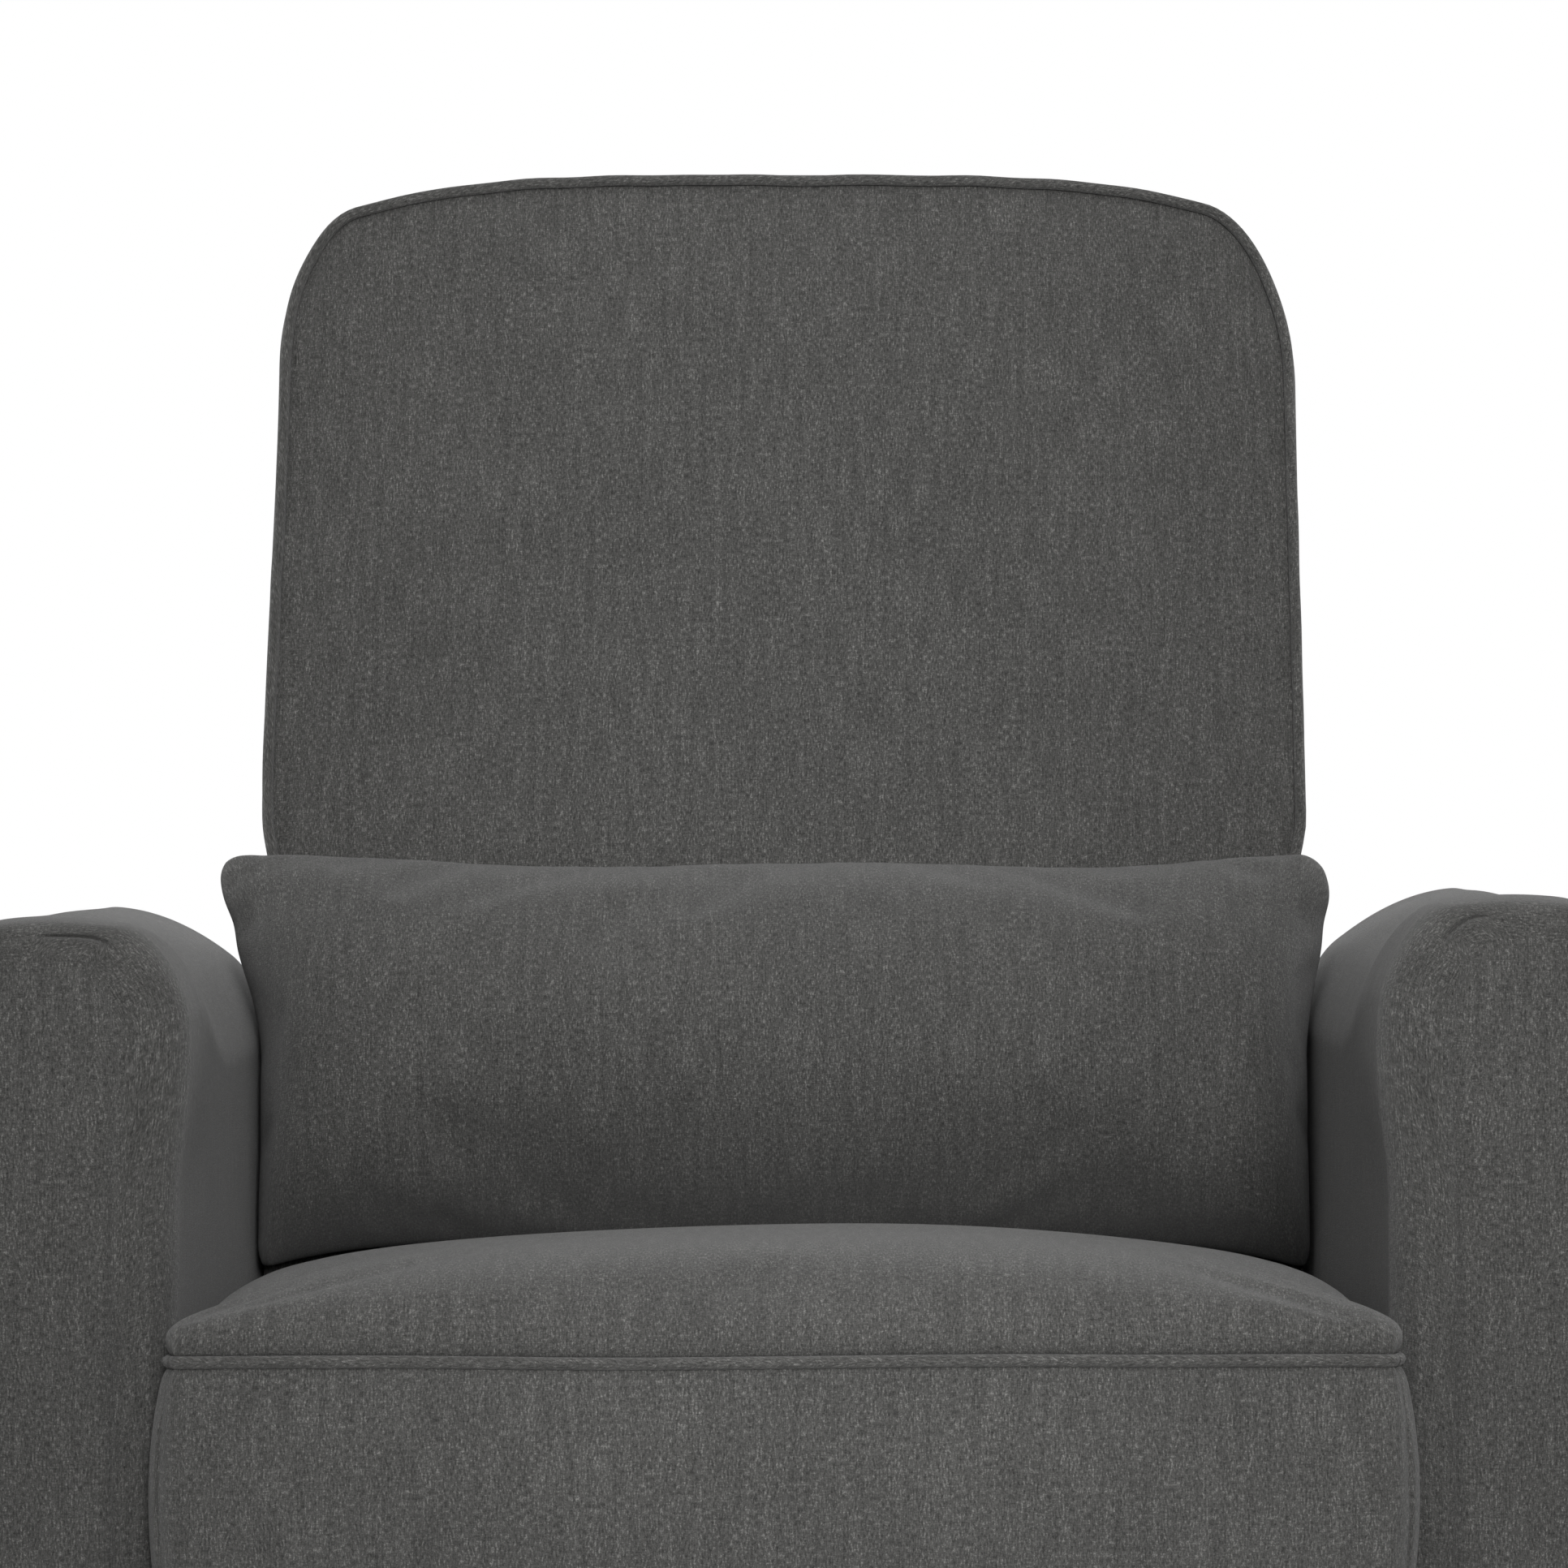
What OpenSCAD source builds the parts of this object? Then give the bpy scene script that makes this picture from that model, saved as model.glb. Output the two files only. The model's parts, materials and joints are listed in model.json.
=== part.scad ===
// Upholstered swivel glider chair for a nursery.
// Millimetres. +Z is up, +X is the right-hand side as seen from the front, the sitter faces -Y.
// The origin is on the floor, on the swivel axis, under the middle of the chair.

/* [Overall] */
// Depth from the cushion's nose to the top of the back
overall_depth = 710; // [640:1:860]
// Height of the top of the back above the floor
back_h = 989; // [880:1:1200]
// Height of the upholstery's lower edge above the floor
skirt_z = 115; // [100:1:125]

/* [Seat] */
// Clear width between the arms
seat_w = 500; // [420:1:620]
// Height of the seat cushion's front welt above the floor
seat_h = 455; // [420:1:560]
// Thickness of the seat cushion at its front edge
cushion_t = 125; // [70:1:150]
// Rise of the cushion's middle above its front edge
cushion_crown = 46; // [15:1:50]
// Distance from the nose back to the highest part of the cushion
crown_set = 125; // [90:5:250]
// How far the cushion's nose stands in front of the arms
cushion_nose = 35; // [20:1:60]
// How far each side of the nose overlaps the arm beside it
nose_overlap = 8; // [0:1:20]
// Depth of the seat from the nose to the back, at the deck
seat_depth = 488; // [430:1:520]

/* [Arms] */
// Width of each arm
arm_w = 100; // [80:1:140]
// Height of the arms above the floor
arm_h = 640; // [600:1:720]
// Drop of the padded shoulder at the arm's top
arm_shoulder = 46; // [30:1:60]
// Thickness of the padding round the arm's frame
arm_padding = 12; // [8:1:20]

/* [Back] */
// Lean of the back's front face from upright, in degrees
back_lean = 11; // [8:0.5:14]
// Lean of the back's rear face from upright, in degrees
rear_lean = 7.4; // [5:0.1:9]
// Height of the rounded top corners
back_corner_h = 150; // [100:1:200]
// Thickness of the padding round the back's frame
back_padding = 16; // [10:1:24]
// Thickness of the outside back panel
back_panel_t = 8; // [5:1:12]

/* [Deck] */
// Thickness of the felt pad on the seat springs
deck_pad_t = 7.1; // [4:0.1:12]

/* [Pillow] */
// Height of the lumbar pillow along the back
pillow_h = 190; // [140:1:260]
// Thickness of the lumbar pillow
pillow_t = 118; // [70:1:130]
// How far each upper corner of the pillow stands out over the arm beside it
pillow_ear = 9; // [0:1:12]

/* [Timber] */
// Thickness of the rails and posts
board_t = 24; // [18:1:28]
// Height of the seat's side and rear rails
rail_h = 52; // [45:1:70]
// Thickness of the plywood front rail
front_rail_t = 18; // [12:1:24]
// Thickness of the upholstered front panel
front_panel_t = 18; // [10:1:24]

/* [Base] */
// Diameter of the base ring along its centre line
ring_d = 500; // [420:1:560]
// Diameter of the ring's steel tube
ring_tube = 25; // [20:1:32]
// Height of the plastic floor glides under the ring
foot_h = 6; // [4:1:10]
// Spacing of the two base crossbars
crossbar_spacing = 140; // [120:1:180]
// Width of each crossbar
crossbar_w = 30; // [25:1:40]

/* [Swivel bearing] */
// Diameter of the ball track
track_d = 150; // [140:1:180]
// Diameter of a bearing ball
ball_d = 8; // [6:1:10]
// Number of bearing balls
ball_count = 24; // [12:1:28]
// Diameter of the swivel bolt
swivel_bolt_d = 12; // [10:1:16]

/* [Glide mechanism] */
// Distance between the two pivots of a swing link
link_len = 120; // [100:1:135]
// Distance between the front and rear links
link_span = 220; // [200:1:260]
// Width of a swing link
link_w = 30; // [28:1:36]
// Thickness of a swing link
link_t = 5; // [4:0.5:8]
// Largest swing of the links each way, in degrees
glide_deg = 22; // [10:1:24]
// Distance from the chair's middle to the inner face of a glide plate
glide_plate_x = 150; // [130:1:160]
// Thickness of the glide plates and the carriage rails
plate_t = 4; // [3:0.5:5]
// Outer diameter of a pivot bearing
bearing_d = 22; // [19:1:24]
// Diameter of a pivot bolt
pivot_d = 10; // [8:1:12]

/* [Hidden] */
$fn = 64;

charcoal = [0.34, 0.335, 0.33];
black_steel = [0.08, 0.08, 0.085];
bright_steel = [0.72, 0.72, 0.74];
pine = [0.80, 0.66, 0.46];
black_plastic = [0.05, 0.05, 0.05];

// Clearances
gap = 0.3;          // between pieces that lie beside each other
running = 0.05;     // round a shaft that turns
sleeve_out = 0.5;   // how far a bearing's sleeve stands proud of its link
bolt_play = 0.25;   // round a bolt in its hole

// Heights, from the floor up
ring_top = foot_h + ring_tube;
race_plate_t = 3;
lower_plate_top = ring_top + race_plate_t;
ball_z = lower_plate_top + ball_d/2 + 1;
groove_d = ball_d + 0.2;
race_h = ball_d/2 - 0.8;
upper_plate_z = 2*ball_z - lower_plate_top;
turntable_top = upper_plate_z + race_plate_t;
channel_h = 25;
channel_w = 30;
channel_wall = 3;
channel_y = link_span*3/11;
spring_wire = 4;
// The seat is stacked down from the cushion: deck pad, springs, rails, carriage, pivots
deck_z = seat_h - cushion_t;
rail_top = deck_z - deck_pad_t - spring_wire - 3*gap;
rail_z = rail_top - rail_h;
flange_top = rail_z;
pivot_drop = 41;
upper_pivot_z = flange_top - pivot_drop;
lower_pivot_z = upper_pivot_z - link_len;

// Places along the depth
nose_y = -overall_depth/2;
arm_front_y = nose_y + cushion_nose;
front_panel_y = arm_front_y + 2;
front_rail_y = front_panel_y + front_panel_t + gap;
seat_box_y = front_rail_y + front_rail_t;
function back_front_y(z) = nose_y + seat_depth + (z - deck_z)*tan(back_lean);
function back_rear_y(z) = overall_depth/2 - (back_h - z)*tan(rear_lean);
// Rear face of the back's frame, which the outside panel covers
function frame_rear_y(z) = back_rear_y(z) - back_panel_t - gap;
post_front_y = frame_rear_y(rail_z) - board_t;
rear_rail_y = post_front_y - gap - board_t;
rear_panel_t = 10;
rear_panel_y = frame_rear_y(deck_z) + 2*gap;
arm_rear_y = rear_panel_y + rear_panel_t;

// Places across the width
seat_x = seat_w/2;
arm_x = seat_x + arm_w;
side_rail_x = seat_x - gap - board_t;
link_x = glide_plate_x + plate_t + 1;
carriage_x = link_x + link_t + 5;

// Fasteners
m8 = 8;
m8_head_r = 7.5;
m8_head_h = 5.3;
pivot_head_r = 8;
pivot_head_h = 3;
pivot_nut_h = 6;

// ---------- shared shapes ----------

// A 2D outline in (x, z), swept from y0 to y1
module along_y(y0, y1) translate([0, y1, 0]) rotate([90, 0, 0]) linear_extrude(y1 - y0) children();

// A 2D outline in (y, z), swept from x0 to x1
module along_x(x0, x1) translate([x0, 0, 0]) rotate([90, 0, 90]) linear_extrude(x1 - x0) children();

module both_sides() {
    children();
    mirror([1, 0, 0]) children();
}

module block(low, high) translate(low) cube(high - low);

// A round bar along X, Y or Z between two stations
module bar_x(x0, x1, y, z, d) translate([x0, y, z]) rotate([0, 90, 0]) cylinder(d = d, h = x1 - x0);
module bar_y(y0, y1, x, z, d) translate([x, y1, z]) rotate([90, 0, 0]) cylinder(d = d, h = y1 - y0);
module bar_z(z0, z1, x, y, d) translate([x, y, z0]) cylinder(d = d, h = z1 - z0);

module hex_z(z0, x, y, r, h) translate([x, y, z0]) cylinder(r = r, h = h, $fn = 6);
module hex_x(x0, y, z, r, h) translate([x0, y, z]) rotate([0, 90, 0]) cylinder(r = r, h = h, $fn = 6);

// Quarter-ellipse points from angle a0 to a1
function arc(cx, cy, rx, ry, a0, a1, n = 8) =
    [for (i = [0:n]) let (a = a0 + (a1 - a0)*i/n) [cx + rx*cos(a), cy + ry*sin(a)]];

// ---------- base ----------

base_bolt_y = track_d/2 + 5;
race_plate_w = 2*(base_bolt_y + 20);

module ring_shape(tube) translate([0, 0, foot_h + ring_tube/2])
    rotate_extrude($fn = 128) translate([ring_d/2, 0]) circle(d = tube);

module base_ring() color(black_steel) ring_shape(ring_tube);

// Two rectangular tubes, their ends saddled to the ring
module base_crossbars() color(black_steel) {
    reach = ring_d/2;
    wall = 2;
    both_sides() difference() {
        block([crossbar_spacing/2 - crossbar_w/2, -reach, foot_h], [crossbar_spacing/2 + crossbar_w/2, reach, ring_top]);
        block([crossbar_spacing/2 - crossbar_w/2 + wall, -reach - 1, foot_h + wall],
              [crossbar_spacing/2 + crossbar_w/2 - wall, reach + 1, ring_top - wall]);
        for (y = [-base_bolt_y, base_bolt_y])
            bar_z(ring_top - 2*wall, ring_top + 1, crossbar_spacing/2, y, m8 + 2*bolt_play);
        difference() {
            bar_z(foot_h - 1, ring_top + 1, 0, 0, ring_d + 2*ring_tube);
            bar_z(foot_h - 2, ring_top + 2, 0, 0, ring_d - ring_tube*0.55);
        }
        ring_shape(ring_tube + gap);
    }
}

// Six pads that cup the underside of the ring
module floor_glides() color(black_plastic)
    for (i = [0:5]) rotate(30 + 60*i) difference() {
        bar_z(0, foot_h + ring_tube/4, ring_d/2, 0, ring_tube + 5);
        ring_shape(ring_tube + gap);
    }

module race_ring(z0, z1) difference() {
    bar_z(z0, z1, 0, 0, track_d + 14);
    bar_z(z0 - 1, z1 + 1, 0, 0, track_d - 14);
    translate([0, 0, ball_z]) rotate_extrude($fn = 96) translate([track_d/2, 0]) circle(d = groove_d);
}

module bearing_lower_race() color(bright_steel) difference() {
    union() {
        block([-race_plate_w/2, -race_plate_w/2, ring_top], [race_plate_w/2, race_plate_w/2, lower_plate_top]);
        bar_z(lower_plate_top - 1, lower_plate_top + race_h, 0, 0, track_d + 14);
    }
    bar_z(lower_plate_top, lower_plate_top + race_h + 1, 0, 0, track_d - 14);
    translate([0, 0, ball_z]) rotate_extrude($fn = 96) translate([track_d/2, 0]) circle(d = groove_d);
    bar_z(ring_top - 1, lower_plate_top + 1, 0, 0, swivel_bolt_d + 2*bolt_play);
    for (x = [-1, 1], y = [-1, 1])
        bar_z(ring_top - 1, lower_plate_top + 1, x*crossbar_spacing/2, y*base_bolt_y, m8 + 2*bolt_play);
}

module each_ball() for (i = [0:ball_count - 1]) rotate(360/ball_count*i) translate([track_d/2, 0, ball_z]) children();

module bearing_balls() color(bright_steel) each_ball() sphere(d = ball_d);

module ball_cage() color(black_plastic) difference() {
    bar_z(ball_z - 0.6, ball_z + 0.6, 0, 0, track_d + 11);
    bar_z(ball_z - 1, ball_z + 1, 0, 0, track_d - 11);
    each_ball() cylinder(d = groove_d + 0.2, h = 2, center = true);
}

module base_bolts() color(bright_steel) for (x = [-1, 1], y = [-1, 1]) {
    hex_z(lower_plate_top, x*crossbar_spacing/2, y*base_bolt_y, m8_head_r, m8_head_h);
    bar_z(ring_top - 11, lower_plate_top + 1, x*crossbar_spacing/2, y*base_bolt_y, m8);
    hex_z(ring_top - 9, x*crossbar_spacing/2, y*base_bolt_y, m8_head_r, 6.5);
}

swivel_washer_h = 2;
module swivel_bolt() color(bright_steel) {
    hex_z(ring_top - 8, 0, 0, swivel_bolt_d*0.85, 8);
    bar_z(ring_top - 1, turntable_top + 15, 0, 0, swivel_bolt_d);
}

// Washer and lock nut that keep the two races together
module swivel_nut() color(bright_steel) difference() {
    union() {
        bar_z(turntable_top + gap, turntable_top + gap + swivel_washer_h, 0, 0, swivel_bolt_d*2.3);
        hex_z(turntable_top + gap + 1, 0, 0, swivel_bolt_d*0.9, 10);
    }
    bar_z(turntable_top - 1, turntable_top + 16, 0, 0, swivel_bolt_d + 2*running);
}

// ---------- turntable ----------

turntable_bolt_x = 20;
turntable_bolt_y = channel_y - 5;

module bearing_upper_race() color(bright_steel) difference() {
    union() {
        bar_z(upper_plate_z, turntable_top, 0, 0, track_d + 40);
        race_ring(upper_plate_z - race_h, upper_plate_z + 1);
    }
    bar_z(upper_plate_z - 1, turntable_top + 1, 0, 0, swivel_bolt_d + 2*running);
    for (x = [-1, 1], y = [-1, 1])
        bar_z(upper_plate_z - 1, turntable_top + 1, x*turntable_bolt_x, y*turntable_bolt_y, m8 + 2*bolt_play);
}

// An upright channel across the turntable, between the glide plates
module cross_channel(y) color(black_steel) difference() {
    block([-glide_plate_x, y - channel_w/2, turntable_top], [glide_plate_x, y + channel_w/2, turntable_top + channel_h]);
    block([-glide_plate_x - 1, y - channel_w/2 + channel_wall, turntable_top + channel_wall],
          [glide_plate_x + 1, y + channel_w/2 - channel_wall, turntable_top + channel_h + 1]);
    for (x = [-1, 1])
        bar_z(turntable_top - 1, turntable_top + channel_h, x*turntable_bolt_x, sign(y)*turntable_bolt_y, m8 + 2*bolt_play);
}
module cross_channel_front() cross_channel(-channel_y);
module cross_channel_rear() cross_channel(channel_y);

module turntable_bolts() color(bright_steel) for (x = [-1, 1], y = [-1, 1]) {
    hex_z(turntable_top + channel_wall, x*turntable_bolt_x, y*turntable_bolt_y, m8_head_r, m8_head_h);
    bar_z(upper_plate_z - 6, turntable_top + channel_wall + 1, x*turntable_bolt_x, y*turntable_bolt_y, m8);
    hex_z(upper_plate_z - 5, x*turntable_bolt_x, y*turntable_bolt_y, m8_head_r, 5);
}

// The plate stands clear of the lower pivots, which swing past its waist
glide_travel = link_len*sin(glide_deg);
waist_y = link_span/2 - glide_travel - pivot_head_r - 6;
waist_top = lower_pivot_z + link_len*(1 - cos(glide_deg)) + pivot_head_r + 8;
foot_y = channel_y + channel_w/2 + 3;
ear_reach = 15;
ear_below = 25;
window_drop = 45;
window_d = 60;

module glide_plate() color(black_steel) difference() {
    along_x(glide_plate_x, glide_plate_x + plate_t) {
        ear = link_span/2 + ear_reach;
        right = [[foot_y, turntable_top], [foot_y, turntable_top + channel_h + 2],
                 [waist_y, lower_pivot_z - pivot_head_r - 5], [waist_y, waist_top],
                 [ear, upper_pivot_z - ear_below], [ear, upper_pivot_z + ear_reach]];
        n = len(right);
        polygon(concat(right, [for (i = [n - 1:-1:0]) [-right[i][0], right[i][1]]]));
    }
    for (y = [-1, 1])
        bar_x(glide_plate_x - 1, glide_plate_x + plate_t + 1, y*link_span/2, upper_pivot_z, pivot_d + 2*bolt_play);
    bar_x(glide_plate_x - 1, glide_plate_x + plate_t + 1, 0, upper_pivot_z - window_drop, window_d);
}
module glide_plate_left() mirror([1, 0, 0]) glide_plate();
module glide_plate_right() glide_plate();

// Shoulder bolts, headed outside the link and nutted inside the plate
module upper_pivot_bolts() color(bright_steel) both_sides() for (y = [-1, 1]) {
    head_x = link_x + link_t + sleeve_out + gap;
    bar_x(head_x, head_x + pivot_head_h, y*link_span/2, upper_pivot_z, 2*pivot_head_r);
    bar_x(glide_plate_x - pivot_nut_h - 2, head_x + 1, y*link_span/2, upper_pivot_z, pivot_d);
    hex_x(glide_plate_x - pivot_nut_h, y*link_span/2, upper_pivot_z, pivot_head_r + 1, pivot_nut_h);
}

// Rubber stops that each link meets at the end of its swing
bumper_d = 12;
bumper_reach = link_len/2;
bumper_angle = glide_deg + asin((link_w/2 + bumper_d/2 + gap)/bumper_reach);
module glide_bumpers() color(black_plastic) both_sides() for (y = [-1, 1])
    bar_x(glide_plate_x + plate_t, link_x + link_t, y*(link_span/2 - bumper_reach*sin(bumper_angle)),
          upper_pivot_z - bumper_reach*cos(bumper_angle), bumper_d);

// ---------- swing links ----------

module link(y) color(black_steel) difference() {
    union() {
        block([link_x, y - link_w/2, lower_pivot_z], [link_x + link_t, y + link_w/2, upper_pivot_z]);
        for (z = [lower_pivot_z, upper_pivot_z]) bar_x(link_x, link_x + link_t, y, z, link_w);
    }
    for (z = [lower_pivot_z, upper_pivot_z]) bar_x(link_x - 1, link_x + link_t + 1, y, z, bearing_d);
}
module front_link_right() link(-link_span/2);
module front_link_left() mirror([1, 0, 0]) link(-link_span/2);
module rear_link_right() link(link_span/2);
module rear_link_left() mirror([1, 0, 0]) link(link_span/2);

// A bearing pressed into the link, its inner sleeve standing proud as a spacer
module link_bearing(y, z) difference() {
    union() {
        bar_x(link_x, link_x + link_t, y, z, bearing_d - 0.04);
        bar_x(link_x - sleeve_out, link_x + link_t + sleeve_out, y, z, pivot_d + 4);
    }
    bar_x(link_x - 2, link_x + link_t + 2, y, z, pivot_d + 2*running);
}
module link_bearings(y) color(bright_steel) both_sides()
    for (z = [lower_pivot_z, upper_pivot_z]) link_bearing(y, z);
module front_link_bearings() link_bearings(-link_span/2);
module rear_link_bearings() link_bearings(link_span/2);

// ---------- carriage ----------

flange_t = 4;
carriage_half = link_span/2 + 40;
carriage_bolt_y = link_span/2;
carriage_bolt_x = side_rail_x + board_t/2;

module carriage_rail() color(black_steel) difference() {
    union() {
        along_x(carriage_x, carriage_x + plate_t) polygon([
            [-link_span/2 - 15, lower_pivot_z - 15], [link_span/2 + 15, lower_pivot_z - 15],
            [carriage_half, flange_top], [-carriage_half, flange_top]]);
        block([carriage_x, -carriage_half, flange_top - flange_t], [side_rail_x + board_t, carriage_half, flange_top]);
    }
    for (y = [-1, 1]) {
        bar_x(carriage_x - 1, carriage_x + plate_t + 1, y*link_span/2, lower_pivot_z, pivot_d + 2*bolt_play);
        bar_z(flange_top - flange_t - 1, flange_top + 1, carriage_bolt_x, y*carriage_bolt_y, m8 + 2*bolt_play);
        along_x(carriage_x - 1, carriage_x + plate_t + 1) polygon([
            [y*16, lower_pivot_z + 12], [y*(link_span/2 - 34), lower_pivot_z + 12],
            [y*(link_span/2 - 18), flange_top - 32], [y*16, flange_top - 32]]);
    }
}
module carriage_rail_left() mirror([1, 0, 0]) carriage_rail();
module carriage_rail_right() carriage_rail();

module lower_pivot_bolts() color(bright_steel) both_sides() for (y = [-1, 1]) {
    head_x = link_x - sleeve_out - gap - pivot_head_h;
    bar_x(head_x, head_x + pivot_head_h, y*link_span/2, lower_pivot_z, 2*pivot_head_r);
    bar_x(head_x + 1, carriage_x + plate_t + pivot_nut_h + 2, y*link_span/2, lower_pivot_z, pivot_d);
    bar_x(link_x + link_t + sleeve_out + gap, carriage_x, y*link_span/2, lower_pivot_z, pivot_d + 4);
    hex_x(carriage_x + plate_t, y*link_span/2, lower_pivot_z, pivot_head_r + 1, pivot_nut_h);
}

module carriage_bolts() color(bright_steel) both_sides() for (y = [-1, 1]) {
    hex_z(flange_top - flange_t - m8_head_h, carriage_bolt_x, y*carriage_bolt_y, m8_head_r, m8_head_h);
    bar_z(flange_top - flange_t - 1, rail_z + rail_h*0.7, carriage_bolt_x, y*carriage_bolt_y, m8);
}

// ---------- timber seat frame ----------

arm_bolt_z = rail_z + rail_h/2;
post_x1 = seat_x - back_padding - 3*gap;
post_x = post_x1 - 1.8*board_t;
back_bolt_x = post_x + m8;
arm_bolt_ys = [seat_box_y + 75, rear_rail_y - 60];

module seat_front_rail() color(pine)
    block([-seat_x + gap, front_rail_y, skirt_z + 3], [seat_x - gap, seat_box_y, rail_top]);

module seat_rear_rail() color(pine) difference() {
    block([-seat_x + gap, rear_rail_y, rail_z], [seat_x - gap, rear_rail_y + board_t, rail_top]);
    for (x = [-1, 1], z = [-1, 1])
        bar_y(rear_rail_y - 1, rear_rail_y + board_t + 1, x*back_bolt_x, arm_bolt_z + z*rail_h/4, m8 + 2*bolt_play);
}

module seat_side_rail() color(pine) difference() {
    block([side_rail_x, seat_box_y, rail_z], [seat_x - gap, rear_rail_y, rail_top]);
    for (y = arm_bolt_ys) bar_x(side_rail_x - 1, seat_x + 1, y, arm_bolt_z, m8 + 2*bolt_play);
    for (y = [-1, 1]) bar_z(rail_z - 1, rail_z + rail_h*0.7, carriage_bolt_x, y*carriage_bolt_y, m8 + 2*bolt_play);
}
module seat_side_rail_left() mirror([1, 0, 0]) seat_side_rail();
module seat_side_rail_right() seat_side_rail();

block_leg = 42;
module corner_blocks() color(pine) both_sides() {
    translate([0, 0, rail_z + 4]) linear_extrude(rail_h - 8) {
        polygon([[side_rail_x, seat_box_y], [side_rail_x - block_leg, seat_box_y], [side_rail_x, seat_box_y + block_leg]]);
        polygon([[side_rail_x, rear_rail_y], [side_rail_x - block_leg*0.4, rear_rail_y], [side_rail_x, rear_rail_y - block_leg]]);
    }
}

// ---------- springs and deck ----------

spring_count = 5;
spring_pitch = seat_w*0.17;
spring_z = rail_top + gap + spring_wire/2;
spring_turns = 14;
spring_half_w = 18;
spring_step = floor(2*(rear_rail_y + board_t/2 - seat_box_y + front_rail_t/2)/spring_turns)/2;
spring_y0 = round(seat_box_y - front_rail_t/2);
spring_y1 = spring_y0 + spring_turns*spring_step;
function spring_x(i) = (i - (spring_count - 1)/2)*spring_pitch;

// A sinuous spring: straight bars across, joined by half-round turns at alternate ends
module sinuous_spring() {
    for (k = [0:spring_turns]) bar_x(-spring_half_w, spring_half_w, spring_y0 + k*spring_step, spring_z, spring_wire);
    for (k = [0:spring_turns - 1]) {
        side = k % 2 == 0 ? 1 : -1;
        translate([side*spring_half_w, spring_y0 + (k + 0.5)*spring_step, spring_z]) rotate(side*90 - 180)
            rotate_extrude(angle = 180) translate([spring_step/2, 0]) circle(d = spring_wire);
    }
}

module seat_springs() color(bright_steel)
    for (i = [0:spring_count - 1]) translate([spring_x(i), 0, 0]) sinuous_spring();

// Clips that hold each spring's end bars on the rails
clip_w = 20;
module spring_clips() color(bright_steel)
    for (i = [0:spring_count - 1], y = [spring_y0, spring_y1]) difference() {
        block([spring_x(i) - clip_w/2, y - 6, rail_top], [spring_x(i) + clip_w/2, y + 6, spring_z + spring_wire/2 + gap]);
        bar_x(spring_x(i) - clip_w, spring_x(i) + clip_w, y, spring_z, spring_wire + gap);
    }

module seat_deck_pad() color([0.16, 0.16, 0.17])
    block([-seat_x + gap, front_panel_y + front_panel_t + gap, deck_z - deck_pad_t],
          [seat_x - gap, rear_rail_y + board_t, deck_z - gap]);

module dust_cover() color(black_plastic)
    block([-carriage_x + gap, seat_box_y + gap, rail_z - 1], [carriage_x - gap, rear_rail_y - gap, rail_z - gap/2]);

// ---------- seat upholstery ----------

module front_panel() color(charcoal)
    block([-seat_x + gap, front_panel_y, skirt_z], [seat_x - gap, front_panel_y + front_panel_t, deck_z - gap]);

module rear_panel() color(charcoal)
    block([-seat_x + gap, rear_panel_y, skirt_z], [seat_x - gap, arm_rear_y, deck_z - gap]);

// The crown: full over the middle, falling quickly at the sides and the nose, slowly at the rear
crown_y = nose_y + crown_set;
crown_front_power = 2.4;
crown_rear_power = 2;
crown_side_power = 3.2;
function crown_over(u, power) = cushion_crown*sqrt(max(0, 1 - pow(abs(u), power)));
cushion_rear_y = back_front_y(deck_z) - gap;
nose_r = 20;

module cushion_plan() {
    half = seat_x + nose_overlap;
    main = seat_x - gap;
    polygon(concat(
        arc(half - nose_r, nose_y + nose_r, nose_r, nose_r, -90, 0),
        [[half, arm_front_y - gap], [main, arm_front_y - gap], [main, cushion_rear_y],
         [-main, cushion_rear_y], [-main, arm_front_y - gap], [-half, arm_front_y - gap]],
        arc(-half + nose_r, nose_y + nose_r, nose_r, nose_r, 180, 270)));
}

module seat_cushion() color(charcoal) {
    top = seat_h + cushion_crown + 1;
    steps = 16;
    intersection() {
        translate([0, 0, deck_z]) linear_extrude(top - deck_z) cushion_plan();
        along_x(-seat_x - nose_overlap - 1, seat_x + nose_overlap + 1) polygon(concat(
            [[cushion_rear_y + 1, deck_z], [nose_y + 8, deck_z], [nose_y, deck_z + cushion_t*0.3],
             [nose_y, deck_z + cushion_t*0.75], [nose_y + 6, seat_h]],
            [for (i = [1:steps - 1]) let (u = -1 + 2*i/steps)
                u < 0 ? [crown_y + u*crown_set, seat_h + crown_over(u, crown_front_power)]
                      : [crown_y + u*(seat_depth - crown_set), seat_h + crown_over(u, crown_rear_power)]],
            [[cushion_rear_y + 1, seat_h]]));
        along_y(nose_y - 1, cushion_rear_y + 1) polygon(concat(
            [[-arm_x, deck_z], [arm_x, deck_z], [arm_x, seat_h]],
            [for (i = [0:steps]) let (u = 1 - 2*i/steps) [u*(seat_x + nose_overlap), seat_h + crown_over(u, crown_side_power)]],
            [[-arm_x, seat_h]]));
    }
}

// ---------- arms ----------

arm_cavity_top = arm_h - arm_shoulder;
arm_crown_x = arm_w*0.66;

// Cross-section in (x, z): a long soft shoulder inside, a short one outside
module arm_section() {
    outer_r = arm_w - arm_crown_x;
    translate([seat_x, 0]) polygon(concat(
        [[0, skirt_z], [arm_w, skirt_z]],
        arc(arm_crown_x, arm_h - outer_r, outer_r, outer_r, 0, 90),
        arc(arm_crown_x, arm_h - arm_shoulder, arm_crown_x, arm_shoulder, 90, 180, 12)));
}

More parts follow.
